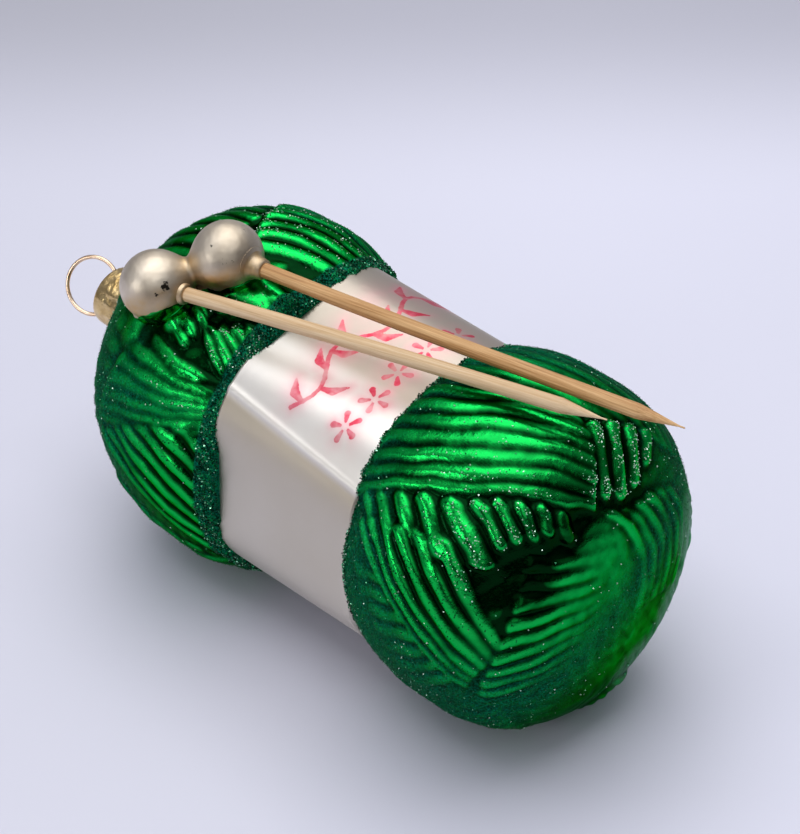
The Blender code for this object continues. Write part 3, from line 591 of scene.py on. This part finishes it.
def rear_border(turn):
    """Where the green's edge lies round the rear of the band: further back on the far side."""
    turned = degrees_round(turn)
    begun = smooth_step((FAR_SIDE_FROM - turned) / FAR_SIDE_RISE)
    lasting = smooth_step((turned - FAR_SIDE_TO) / FAR_SIDE_RISE)
    return -BORDER_BACK - BORDER_FAR_BACK * begun * lasting


def rear_tuck(x, turn):
    """How far the rear lobe falls in near the band on the far side."""
    by_turn = smooth_step(1.4 - 1.4 * np.abs(degrees_round(turn) - TUCK_AT) / TUCK_REACH)
    return TUCK * by_turn * smooth_step((x - BAND_REAR_X + TUCK_BEHIND) / TUCK_FADE)


def lobe_surface(lobe, patches, once, hollows, knobs, stations, columns, border_x):
    """Points of a lobe with its yarn, and its relief; border_x is where the band begins."""
    x, turn = np.meshgrid(np.array(stations), columns, indexing="ij")
    if border_x == BAND_REAR_X:
        x = x + rear_border(turn) * smooth_step((x - lobe.x) / (border_x - lobe.x))
    share = lobe_section(lobe, x)
    y = -share * lobe.half_width * np.sin(turn)
    z = share * lobe.half_height * np.cos(turn)
    length = np.where(x < lobe.x, lobe.rear, lobe.fore)
    unit = unit_vector(np.stack([(x - lobe.x) / length, y / lobe.half_width, z / lobe.half_height], -1))
    outward = unit_vector(unit / np.stack([length, np.full_like(x, lobe.half_width),
                                           np.full_like(x, lobe.half_height)], -1))
    edge_x = x[-1] if border_x == BAND_REAR_X else border_x
    fade = smooth_step(np.abs(x - edge_x) / RELIEF_FADE) * (1.0 - RELIEF_AT_EDGE) + RELIEF_AT_EDGE
    relief = soften(yarn_height(unit, patches, once, hollows, knobs)) * fade
    tuck = rear_tuck(x, turn) if border_x == BAND_REAR_X else 0.0
    points = np.stack([x, y, z + lobe.z], -1) + outward * (relief - tuck)[..., None]
    points[..., 2] = np.maximum(points[..., 2], 0.0)
    return points, relief


def crests(relief):
    """0 in a valley between strands, 1 on a crest."""
    return np.clip(0.55 + (relief - soften(relief, 24)) / CREST_SCALE, 0.0, 1.0)


def lobe_directions(lobe, points):
    middle, reach = (lobe.x, 0.0, lobe.z), (lobe.fore, lobe.half_width, lobe.half_height)
    return unit_vector((points - middle) / reach)


# --- the pieces ----------------------------------------------------------------------------
def make_lobe(name, lobe, patches, once, hollows, knobs, x_from, x_to, grid, border_x, clean, finish):
    """Returns the piece, its grid of points and its crest and frost values."""
    stations, columns = lobe_stations(lobe, x_from, x_to, grid[0]), full_circle(grid[1])
    points, relief = lobe_surface(lobe, patches, once, hollows, knobs, stations, columns, border_x)
    crest = crests(relief)
    unit = lobe_directions(lobe, points)
    # Painted shade round each hollow, taken off the crest value.
    for at, radius, depth in hollows:
        hollow_shade = np.exp(-((mm_away(unit, at) / (HOLLOW_SPREAD * radius)) ** 2))
        crest = crest - HOLLOW_SHADE * max(depth, 0.0) * hollow_shade
    crest = np.clip(crest, 0.0, 1.0)
    clean_sides, border_width = clean
    off_clean = [degrees_away(unit, at, turn) - reach for at, reach in clean_sides for turn in HALF_TURNS]
    frost = smooth_step(np.minimum.reduce(off_clean) / FROST_SPREAD)
    edge_x = points[-1, :, 0] if border_x == BAND_REAR_X else border_x
    border = smooth_step(1.0 - (np.abs(points[..., 0] - edge_x) - border_width) / BORDER_FADE)
    frost = np.maximum(frost, border)
    pale = np.zeros_like(frost)
    for at, reach in PALE_FACETS if lobe is FRONT_LOBE else ():
        pale = np.maximum(pale, smooth_step(2.0 - 2.0 * degrees_away(unit, at) / reach))
    piece = round_piece(name, points, finish, "green_lacquered_glass", crest=crest, frost=frost, pale=pale)
    return piece, points, crest, frost


def band_radius(x, turn):
    share = (x - BAND_REAR_X) / (BAND_FRONT_X - BAND_REAR_X)
    corner_radius = BAND_REAR_RADIUS + share * (BAND_FRONT_RADIUS - BAND_REAR_RADIUS)
    face_angle = 2.0 * math.pi / BAND_CORNERS
    off_face = (turn - math.radians(BAND_CORNER_AT)) % face_angle - 0.5 * face_angle
    face_radius = BAND_FLAT_RADIUS / np.cos(off_face)
    blend = np.exp(-face_radius / BAND_ROUNDING) + np.exp(-corner_radius / BAND_ROUNDING)
    radius = -BAND_ROUNDING * np.log(blend)
    crease_at = np.radians(CREASE_AT_REAR + share * (CREASE_AT_FRONT - CREASE_AT_REAR))
    away = half_turns(turn - crease_at) * radius
    return radius + CREASE_HEIGHT * np.exp(-((away / (0.5 * CREASE_WIDTH)) ** 2))


def make_band(finish):
    """The band of pearl lacquer, with painted shade, darker and warmer, below its creases and along the top.
    """
    rings, count = BAND_GRID
    share, turn = np.meshgrid(np.linspace(0.0, 1.0, rings), full_circle(count), indexing="ij")
    first = BAND_REAR_X + rear_border(turn) - BAND_OVERLAP
    x = first + share * (BAND_FRONT_X + BAND_OVERLAP - first)
    radius = band_radius(x, turn)
    points = np.stack([x, -radius * np.sin(turn), AXIS_Z + radius * np.cos(turn)], -1)
    paint, blush = brushwork(x, half_turns(turn) * BAND_FLAT_RADIUS)
    turned = degrees_round(turn)
    past_crease = np.abs(turned) - CREASE_AT_REAR - (CREASE_AT_FRONT - CREASE_AT_REAR) * share
    # Painted shade below each crease, strongest just under it.
    age = smooth_step(past_crease / 4.0) * (0.55 + 0.38 * np.exp(-np.clip(past_crease, 0.0, 90.0) / 14.0))
    # Painted shade over the band's top.
    shade_over_top = smooth_step((TOP_SHADE_TO - turned) / 9.0) * smooth_step((turned - TOP_SHADE_FROM) / 25.0)
    age = np.maximum(age, TOP_SHADE * shade_over_top)
    return round_piece("label_band", points, finish, "pearl_lacquered_glass", paint=paint, blush=blush,
                       age=age)


def brushwork(x, around):
    """Hand-painted sprig and a row of small blossoms: paint is 0.5 at a stroke's edge."""
    nearest = np.full(x.shape, 9.0)
    for start, end, thick_start, thick_end in brush_strokes():
        start, end = np.array(start), np.array(end)
        run = end - start
        share = np.clip(((around - start[0]) * run[0] + (x - start[1]) * run[1]) / (run @ run), 0.0, 1.0)
        away = np.hypot(around - start[0] - share * run[0], x - start[1] - share * run[1])
        nearest = np.minimum(nearest, away - thick_start - share * (thick_end - thick_start))
    cloud = 0.5 * np.exp(-(((around - SMEAR[0]) / SMEAR[2]) ** 2) - ((x - SMEAR[1]) / SMEAR[3]) ** 2)
    blush = np.maximum(0.75 * np.exp(-np.clip(nearest, 0.0, 9.0) / 1.3), cloud)
    return np.clip(0.5 - nearest, 0.0, 1.0), blush


def brush_strokes():
    """Strokes as (start, end, half-width at start, at end); a point is (mm round, mm along)."""
    strokes = []
    stem = [(19.5 - 1.6 * step, 3.6 + 2.2 * math.sin(0.62 * step)) for step in range(22)]
    strokes += [(here, there, 0.42, 0.36) for here, there in zip(stem, stem[1:])]
    for index, (around, along) in enumerate(stem[1:-1:2]):
        side = 1.0 if index % 2 else -1.0
        middle = (around - 0.6, along + side * 2.3)
        strokes.append(((around, along + side * 0.3), middle, 0.36, 0.80))
        strokes.append((middle, (around - 2.6, along + side * 4.0), 0.80, 0.15))
    for blossom in range(5):
        middle = (17.6 - 6.0 * blossom, 14.4 + 0.5 * math.sin(2.0 * blossom))
        for petal in range(5):
            angle = math.radians(72.0 * petal + 20.0 * blossom)
            tip = (middle[0] + 2.2 * math.cos(angle), middle[1] + 2.2 * math.sin(angle))
            near = (middle[0] + 0.8 * math.cos(angle), middle[1] + 0.8 * math.sin(angle))
            strokes.append((near, tip, 0.26, 0.56))
    return strokes


def silver_piece(name, grid, finish, gilt=0.0, wear=0.0, lacquer=0.0):
    """A piece of champagne silvered glass; each value is one number or a grid of them."""
    plain = np.zeros(grid.shape[:2])
    return round_piece(name, grid, finish, "champagne_silvered_glass", gilt=plain + gilt, wear=plain + wear,
                       lacquer=plain + lacquer)


def ring_round_neck(x, radius, columns):
    return np.stack([np.full_like(columns, x), NECK_Y - radius * np.sin(columns),
                     NECK_Z + radius * np.cos(columns)], -1)


def make_neck(finish):
    columns = full_circle(96)
    stations = ((NECK_END_X, 0.9), (NECK_END_X + 0.5, 1.0), (-51.0, 1.0), (-49.9, 1.08), (-49.1, 1.3),
                (-48.4, 1.7))
    rings = [ring_round_neck(x, NECK_RADIUS * flare, columns) for x, flare in stations]
    return silver_piece("neck", np.array(rings), finish)


def swept_rings(centres, radii, sides):
    """Rings of a round rod through the given centres, with a radius for each."""
    centres = [Vector(point) for point in centres]
    turns = [2.0 * math.pi * step / sides for step in range(sides)]
    side = None
    rings = []
    for index, centre in enumerate(centres):
        forward = (centres[min(index + 1, len(centres) - 1)] - centres[max(index - 1, 0)]).normalized()
        if side is None:
            side = forward.cross(Vector((0.0, 1.0, 0.2))).normalized()
        side = (side - forward * side.dot(forward)).normalized()
        upward = forward.cross(side)
        rings.append([centre + radii[index] * (math.cos(turn) * side + math.sin(turn) * upward)
                      for turn in turns])
    return np.array(rings)


def make_balls(finish):
    """Both balls and the waist between them, turned about the line through their centres."""
    first, second = np.array(BALL_1), np.array(BALL_2)
    span = float(np.linalg.norm(second - first))
    along = (second - first) / span
    side = unit_vector(np.cross(along, (0.0, 0.0, 1.0)))
    upward = np.cross(side, along)
    polar = np.linspace(0.03, math.pi - 0.03, 150)
    reach = 0.5 * span - (0.5 * span + BALL_RADIUS) * np.cos(polar)
    joined = np.logaddexp((BALL_RADIUS ** 2 - reach ** 2) / WAIST_SOFTNESS,
                          (BALL_RADIUS ** 2 - (reach - span) ** 2) / WAIST_SOFTNESS)
    radius = np.sqrt(WAIST_SOFTNESS * joined.clip(0.0))
    turn = full_circle(110)
    points = (first + reach[:, None, None] * along + radius[:, None, None]
              * (np.cos(turn)[None, :, None] * upward + np.sin(turn)[None, :, None] * side))
    wear = np.zeros(points.shape[:2])
    for centre, spot, size, strength in WORN_SPOTS:
        away = np.linalg.norm(points - centre - BALL_RADIUS * unit_vector(spot), axis=-1)
        wear = np.maximum(wear, strength * np.exp(-((away / size) ** 2)))
    # Painted shade, darker and golden, at the waist and (low) over each ball's lower part.
    waist = np.exp(-(((reach - 0.5 * span) / 1.6) ** 2))[:, None]
    above_1, above_2 = above_lacquer(points, first), above_lacquer(points, second)
    low = smooth_step((3.4 - np.minimum(above_1, above_2)) / 2.6)
    lacquer = np.clip(0.5 - np.maximum(above_1, above_2 - 3.5) / LACQUER_EDGE, 0.0, 1.0)
    return silver_piece("balls", points, finish, np.maximum(0.8 * low, 0.8 * waist), wear, lacquer)


def above_lacquer(points, centre):
    return (points - centre) @ unit_vector(LACQUER_WAY) + LACQUER_BELOW


def make_ball_foot(name, centre, finish):
    """The flare by which a ball runs into the body: silver above, green lacquer below."""
    centre = np.array(centre)
    down = -unit_vector(centre - (centre[0], 0.0, AXIS_Z))
    side = np.array([1.0, 0.0, 0.0])
    third = np.cross(down, side)
    turn = full_circle(96)
    outward = np.cos(turn)[:, None] * side + np.sin(turn)[:, None] * third
    rings = []
    for depth, radius in BALL_FOOT:
        uneven = radius * (1.0 + 0.04 * max(0.0, depth - 1.5) * np.sin(3.0 * turn + 1.0))
        rings.append(centre + down * depth + uneven[:, None] * outward)
    points = np.array(rings)
    for _ in range(40):                # the two lowest rings sink until they are inside the lobe
        outside = lobe_depth(REAR_LOBE, points[-2:]) < 0.015
        points[-2:] += np.where(outside[..., None], 0.15 * down, 0.0)
    lacquer = np.clip(0.5 - above_lacquer(points, centre) / LACQUER_EDGE, 0.0, 1.0)
    return silver_piece(name, points, finish, gilt=0.4, lacquer=lacquer)


def lobe_depth(lobe, points):
    """Over 0 inside a lobe's plain shape, under 0 outside it."""
    length = np.where(points[..., 0] < lobe.x, lobe.rear, lobe.fore)
    off_axis = np.hypot(points[..., 1] / lobe.half_width, (points[..., 2] - lobe.z) / lobe.half_height)
    return 1.0 - (np.abs(points[..., 0] - lobe.x) / length) ** lobe.squareness - off_axis ** lobe.squareness


def make_collar(name, ball, tip, reach, finish):
    """The small rise of a ball's glass that holds a needle's end; a long one is wider at its foot."""
    wide = min(reach, 1.0)
    profile = ((-0.93 + 0.2 * (1.0 - wide), 1.7 + 1.5 * wide), (-0.72, 1.7 + 1.1 * wide),
               (-0.48, 1.7 + 0.68 * wide), (-0.1, 1.7 + 0.32 * wide), (0.4 * reach, 1.7 + 0.14 * wide),
               (reach, 1.66), (reach + 0.12, 1.4))
    centres = [toward(ball, tip, BALL_RADIUS + along) for along, _ in profile]
    rings = swept_rings(centres, [radius for _, radius in profile], 64)
    return silver_piece(name, rings, finish, gilt=0.7)


def needle_run(ball, tip, bow_side):
    """Centres and radii along a needle that bows a little to one side and ends in a cut point."""
    start = toward(ball, tip, BALL_RADIUS - SOCKET_DEPTH + FIT_GAP)
    run = Vector(tip) - start
    side = run.cross(Vector((0.0, 0.0, 1.0))).normalized()
    taper_from = 1.0 - NEEDLE_POINT / run.length
    shaft = [0.0, 0.004] + [0.05 * step for step in range(1, 18)]
    shaft = [share for share in shaft if share < taper_from - 0.01]
    point = [taper_from + (1.0 - taper_from) * step / 8.0 for step in range(9)]
    centres, radii = [], []
    for share in shaft + point:
        bow = NEEDLE_BOW * bow_side * math.sin(math.pi * share) * min(1.0, share * 6.0)
        centres.append(start + run * share + side * bow)
        tapered = min(1.0, (1.0 - share) / (1.0 - taper_from))
        radii.append(NEEDLE_RADIUS * max(0.1, tapered) * (0.93 if share == 0.0 else 1.0))
    return centres, radii


def make_needle(name, ball, tip, bow_side, brown, finish):
    """Built along its own X, so that the wood's fibres follow it."""
    centres, radii = needle_run(ball, tip, bow_side)
    rings = swept_rings(centres, radii, 40)
    origin = place(centres[0])
    turned = (Vector(tip) - Vector(centres[0])).to_track_quat("X", "Z")
    local = [turned.inverted() @ Vector(point - origin) for point in place(with_poles(rings))]
    piece = add_mesh(name, local, grid_faces(*rings.shape[:2]), finish, {"brown": [brown] * len(local)})
    piece.data.set_sharp_from_angle(angle=math.radians(50.0))
    piece.location = origin
    piece.rotation_mode = "QUATERNION"
    piece.rotation_quaternion = turned
    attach(piece, "root")
    return piece


def make_cap(finish):
    """Gold crown cap: a thin cup with a crimped skirt."""
    outer = ((CAP_TOP_X, 0.3), (CAP_TOP_X, CAP_RADIUS - 1.2), (CAP_TOP_X, CAP_RADIUS - 0.8),
             (CAP_TOP_X + 0.1, CAP_RADIUS - 0.4), (CAP_TOP_X + 0.35, CAP_RADIUS - 0.12),
             (CAP_TOP_X + 0.8, CAP_RADIUS), (CAP_TOP_X + 2.6, CAP_RADIUS + 0.03),
             (CAP_SKIRT_X - 2.6, CAP_RADIUS + 0.08), (CAP_SKIRT_X - 0.4, CAP_SKIRT_RADIUS - 0.05),
             (CAP_SKIRT_X, CAP_SKIRT_RADIUS))
    inner = ((CAP_SKIRT_X, CAP_SKIRT_RADIUS - CAP_WALL), (CAP_SKIRT_X - 2.6, CAP_RADIUS + 0.08 - CAP_WALL),
             (CAP_TOP_X + 0.9, CAP_RADIUS - CAP_WALL), (CAP_TOP_X + CAP_WALL, CAP_RADIUS - 1.1),
             (CAP_TOP_X + CAP_WALL, 0.3))
    columns = full_circle(CAP_CRIMPS * 12)
    rings = []
    for x, radius in outer + inner:
        depth = smooth_step((x - CAP_TOP_X - 1.0) / (CAP_SKIRT_X - CAP_TOP_X - 1.0))
        wave = radius + CAP_CRIMP_DEPTH * depth * np.cos(CAP_CRIMPS * columns)
        rings.append(ring_round_neck(x, wave, columns))
    return round_piece("cap_shell", np.array(rings), finish, "gold_cap")


def loop_point(outward, sideways):
    """A point in the loop's plane, from the loop's middle."""
    twist, lean = math.radians(LOOP_TWIST), math.radians(LOOP_LEAN)
    across = Vector((0.0, math.cos(twist), math.sin(twist)))
    up = Vector((-math.cos(lean), -math.sin(lean) * math.sin(twist), math.sin(lean) * math.cos(twist)))
    middle = Vector((CAP_TOP_X, NECK_Y, NECK_Z)) + up * LOOP_REACH - across * LOOP_SLIP
    return middle + up * outward + across * sideways


def make_loop(finish):
    leg = Vector((LOOP_LEG_LENGTH, 0.0, 0.0))
    hole_low, hole_high = (loop_point(-LOOP_REACH, side * LOOP_LEG_SPREAD) for side in (-1.0, 1.0))
    route = [hole_low + leg, hole_low + leg * 0.3, hole_low - leg * 0.25]
    for step in range(LOOP_STEPS + 1):
        turned = LOOP_OPEN_HALF + (360.0 - 2.0 * LOOP_OPEN_HALF) * step / LOOP_STEPS
        angle = math.radians(180.0 + turned)
        route.append(loop_point(LOOP_RADIUS * math.cos(angle), LOOP_RADIUS * math.sin(angle)))
    route += [hole_high - leg * 0.25, hole_high + leg * 0.3, hole_high + leg]
    return round_piece("wire_loop", swept_rings(route, [WIRE_RADIUS] * len(route), 16), finish, "gilt_wire")


# --- glitter -------------------------------------------------------------------------------
# Kinds: flakes per square mm where they lie thickest, size and lift in mm, how much dark shades prevail.
Flakes = namedtuple("Flakes", "density size lift darkness")
FRONT_RIM, REAR_RIM = Flakes(22.0, 0.24, 0.12, 2.2), Flakes(14.0, 0.22, 0.06, 2.6)
DUST = Flakes(5.0, 0.09, 0.02, 3.0)
SPARKLE, SPECK = Flakes(1.0, 0.18, 0.05, 1.5), Flakes(1.0, 0.16, 0.04, 6.0)
LOOSE_SPARKLES = 0.05                  # per square mm, all over
FRONT_RIM_WIDTH, REAR_RIM_WIDTH = (1.5, 0.5), (3.6, 1.2)    # mm from the edge, and mm of fading
# Places where flakes lie along the strands' tops: direction, reach in degrees, flakes per square mm.
FRONT_SPARKLES = (((60, 46), 24.0, 3.0), ((48, -12), 20.0, 3.5), ((40, 10), 9.0, 6.0), ((78, 34), 26.0, 1.0))
REAR_SPARKLES = (((66, 34), 16.0, 4.0), ((84, -14), 24.0, 1.6), ((74, 60), 18.0, 0.8))
FRONT_SPECKS = (((78, 66), 34.0, 2.2), ((60, 82), 26.0, 1.2), ((70, 26), 34.0, 0.7))
REAR_SPECKS = (((80, 60), 34.0, 1.2),)
FLAKE_POINTS = np.array([(1, 0, -0.3), (-0.5, 0.87, -0.3), (-0.5, -0.87, -0.3), (0, 0, 0.7)])
FLAKE_FACES = np.array([(0, 1, 3), (1, 2, 3), (2, 0, 3), (0, 2, 1)])
FLOOR_GAP = 0.02                       # mm by which a flake stays above the floor


def scatter_glitter(name, grid, share, kind, rng, finish):
    """Closed flakes strewn over a grid; share says how much of the kind's density each point gets."""
    normals = grid_normals(grid)
    area = np.linalg.norm(np.cross(np.roll(grid, -1, 1) - grid, np.gradient(grid, axis=0)), axis=-1)
    expected = (area * (kind.density * share)).ravel()
    chosen = np.flatnonzero(rng.random(expected.size) < expected)
    jitter = rng.uniform(-0.15, 0.15, (chosen.size, 3))
    at = grid.reshape(-1, 3)[chosen] + jitter
    normal = normals.reshape(-1, 3)[chosen]
    tilt = unit_vector(normal + rng.normal(0.0, 0.45, normal.shape))
    side = unit_vector(np.cross(tilt, rng.normal(size=tilt.shape)))
    third = np.cross(tilt, side)
    reach = kind.size * rng.uniform(0.6, 1.25, chosen.size)
    corners = sum(FLAKE_POINTS[:, axis, None] * way[:, None] for axis, way in enumerate((side, third, tilt)))
    corners = corners * reach[:, None, None] + (at + normal * kind.lift)[:, None]
    corners[..., 2] = np.maximum(corners[..., 2], FLOOR_GAP)
    faces = (np.arange(chosen.size)[:, None, None] * 4 + FLAKE_FACES[None]).reshape(-1, 3).tolist()
    shade = np.repeat(rng.random(chosen.size) ** kind.darkness, 4)
    piece = new_piece(name, corners.reshape(-1, 3), faces, finish, {"flake": shade})
    piece.data.shade_flat()


def crest_density(grid, lobe, crest, places):
    """Flakes per square mm along the tops of the strands near some places."""
    unit = lobe_directions(lobe, grid)
    density = np.zeros(crest.shape)
    for at, reach, most in places:
        density = np.maximum(density, most * smooth_step(2.0 - 2.0 * degrees_away(unit, at) / reach))
    return density * smooth_step((crest - 0.60) / 0.25)


# --- camera, floor and lights --------------------------------------------------------------
CAMERA_AT = (276.35, -259.80, 317.74)
CAMERA_TARGET = (0.0, 8.47, 30.77)
LENS, SENSOR = 124.23, 36.0            # mm; the sensor's long side
# Painted shade on the floor, darker away from the camera and to its left: direction, from and to in metres,
# last shade.
FLOOR_PAINTED_SHADES = (((-0.717, 0.697, 0.0), 0.118, 0.210, 0.64), ((-0.697, -0.717, 0.0), -0.06, 0.09, 0.86))
FLOOR_REACH = 2.5                      # metres
LIGHT_TARGET = (0.0, 0.0, 0.03)        # metres
BRIGHT_SIDE = (-0.50, 0.48, 0.72)      # unit vector away from the camera and up
DIM_SIDE_COLOUR, BRIGHT_SIDE_COLOUR = (0.01, 0.01, 0.012), (0.29, 0.30, 0.34)


def make_camera():
    data = bpy.data.cameras.new("camera")
    data.lens, data.sensor_width = LENS, SENSOR
    camera = add_object("camera", data)
    at, target = Vector(place(CAMERA_AT)), Vector(place(CAMERA_TARGET))
    camera.location = at
    camera.rotation_euler = (target - at).to_track_quat("-Z", "Y").to_euler()
    data.clip_start, data.clip_end = 0.01, 20.0
    bpy.context.scene.camera = camera


def make_floor():
    graph = Graph("pale_floor")
    tone = graph.ramp(graph.noise(4.0, 2.0), (0.3, (0.74, 0.74, 0.87)), (0.7, (0.77, 0.77, 0.89)))
    # Painted shade: the floor's colour darkens away from the camera and to its left.
    for way, start, end, shade in FLOOR_PAINTED_SHADES:
        run = graph.add("ShaderNodeVectorMath", output="Value", settings={"operation": "DOT_PRODUCT"},
                        _0=graph.place(), _1=way)
        share = graph.add("ShaderNodeMapRange", settings={"interpolation_type": "SMOOTHSTEP"}, Value=run,
                          From_Min=start, From_Max=end)
        tone = graph.mix(share, tone, graph.mix(1.0 - shade, tone, (0.0, 0.0, 0.0)))
    finish = graph.finish(Base_Color=tone, Roughness=0.55)
    corners = [(FLOOR_REACH * x, FLOOR_REACH * y, 0.0) for x, y in ((-1, -1), (1, -1), (1, 1), (-1, 1))]
    floor = add_mesh("floor", corners, [(0, 1, 2, 3)], finish)


def make_light(name, at, size, power):
    data = bpy.data.lights.new(name, "AREA")
    data.shape = "RECTANGLE"
    data.size, data.size_y = size
    data.energy = power
    light = add_object(name, data)
    light.location = at
    light.rotation_euler = (Vector(LIGHT_TARGET) - Vector(at)).to_track_quat("-Z", "Y").to_euler()


def make_world():
    """Soft light from all round, dim from the side that the camera looks from."""
    world = bpy.data.worlds.new("studio")
    bpy.context.scene.world = world
    world.use_nodes = True
    nodes, links = world.node_tree.nodes, world.node_tree.links
    coordinates = nodes.new("ShaderNodeTexCoord")
    facing = nodes.new("ShaderNodeVectorMath")
    facing.operation = "DOT_PRODUCT"
    facing.inputs[1].default_value = BRIGHT_SIDE
    links.new(coordinates.outputs["Generated"], facing.inputs[0])
    ramp = nodes.new("ShaderNodeValToRGB")
    spread = nodes.new("ShaderNodeMapRange")
    spread.inputs["From Min"].default_value = -1.0
    links.new(facing.outputs["Value"], spread.inputs["Value"])
    links.new(spread.outputs["Result"], ramp.inputs[0])
    shades = ((0.30, DIM_SIDE_COLOUR), (0.85, BRIGHT_SIDE_COLOUR))
    for element, (at, colour) in zip(ramp.color_ramp.elements, shades):
        element.position = at
        element.color = (*colour, 1.0)
    links.new(ramp.outputs[0], nodes["Background"].inputs["Color"])
    nodes["Background"].inputs["Strength"].default_value = 1.0


def make_lights():
    make_light("overhead", (-0.10, 0.0, 0.95), (1.1, 1.0), 7.0)
    make_light("back_high", (-0.40, 0.42, 0.80), (0.9, 0.6), 1.8)
    make_light("left_high", (-0.40, -0.57, 0.715), (0.8, 0.6), 0.55)
    make_light("left_low", (-0.30, -0.95, 0.32), (0.40, 0.22), 1.6)
    make_light("front_high", (0.6, -0.65, 0.75), (0.9, 0.9), 1.5)
    make_world()
    bpy.context.scene.view_settings.view_transform = "Standard"


def main():
    make_camera()
    make_floor()
    make_lights()
    green, flakes = green_lacquer(), glitter()
    silver, wood = champagne(), bamboo()
    front_end_x = FRONT_LOBE.x + FRONT_LOBE.fore - 0.002
    front, front_grid, front_crest, front_frost = make_lobe(
        "front_lobe", FRONT_LOBE, FRONT_PATCHES, FRONT_ONCE, FRONT_HOLLOWS, (), BAND_FRONT_X, front_end_x,
        FRONT_GRID, BAND_FRONT_X, FRONT_CLEAN, green)
    _, rear_grid, rear_crest, rear_frost = make_lobe(
        "rear_lobe", REAR_LOBE, REAR_PATCHES, {}, REAR_HOLLOWS, REAR_KNOBS, NECK_BLEND_X, BAND_REAR_X,
        REAR_GRID, BAND_REAR_X, REAR_CLEAN, green)
    make_band(pearl())
    make_neck(silver)
    make_balls(silver)
    make_ball_foot("ball_foot_left", BALL_1, silver)
    make_ball_foot("ball_foot_right", BALL_2, silver)
    make_collar("collar_left", BALL_1, NEEDLE_1_TIP, COLLAR_1_REACH, silver)
    make_collar("collar_right", BALL_2, NEEDLE_2_TIP, COLLAR_2_REACH, silver)
    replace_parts(front, "glass_body")
    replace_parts(make_needle("skewer_left", BALL_1, NEEDLE_1_TIP, -1.0, 0.0, wood), "needle_left")
    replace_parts(make_needle("skewer_right", BALL_2, NEEDLE_2_TIP, 1.0, 1.0, wood), "needle_right")
    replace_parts(make_cap(gold_cap()), "cap")
    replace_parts(make_loop(gilt_wire()), "hanging_loop")

    rng = np.random.default_rng(GLITTER_SEED)
    width, fade = FRONT_RIM_WIDTH
    front_rim = smooth_step((BAND_FRONT_X + width - front_grid[..., 0]) / fade)
    width, fade = REAR_RIM_WIDTH
    rear_rim = smooth_step((rear_grid[..., 0] - rear_grid[-1, :, 0] + width) / fade)
    scatter_glitter("front_rim_glitter", front_grid, front_rim, FRONT_RIM, rng, flakes)
    scatter_glitter("rear_rim_glitter", rear_grid, rear_rim, REAR_RIM, rng, flakes)
    scatter_glitter("front_dust", front_grid, front_frost, DUST, rng, flakes)
    scatter_glitter("rear_dust", rear_grid, rear_frost, DUST, rng, flakes)
    bright = sparkle()
    for label, grid, lobe, crest, shiny, dark in (
            ("front", front_grid, FRONT_LOBE, front_crest, FRONT_SPARKLES, FRONT_SPECKS),
            ("rear", rear_grid, REAR_LOBE, rear_crest, REAR_SPARKLES, REAR_SPECKS)):
        sparkles = LOOSE_SPARKLES + crest_density(grid, lobe, crest, shiny)
        scatter_glitter(label + "_sparkles", grid, sparkles, SPARKLE, rng, bright)
        scatter_glitter(label + "_specks", grid, crest_density(grid, lobe, crest, dark), SPECK, rng, flakes)


main()
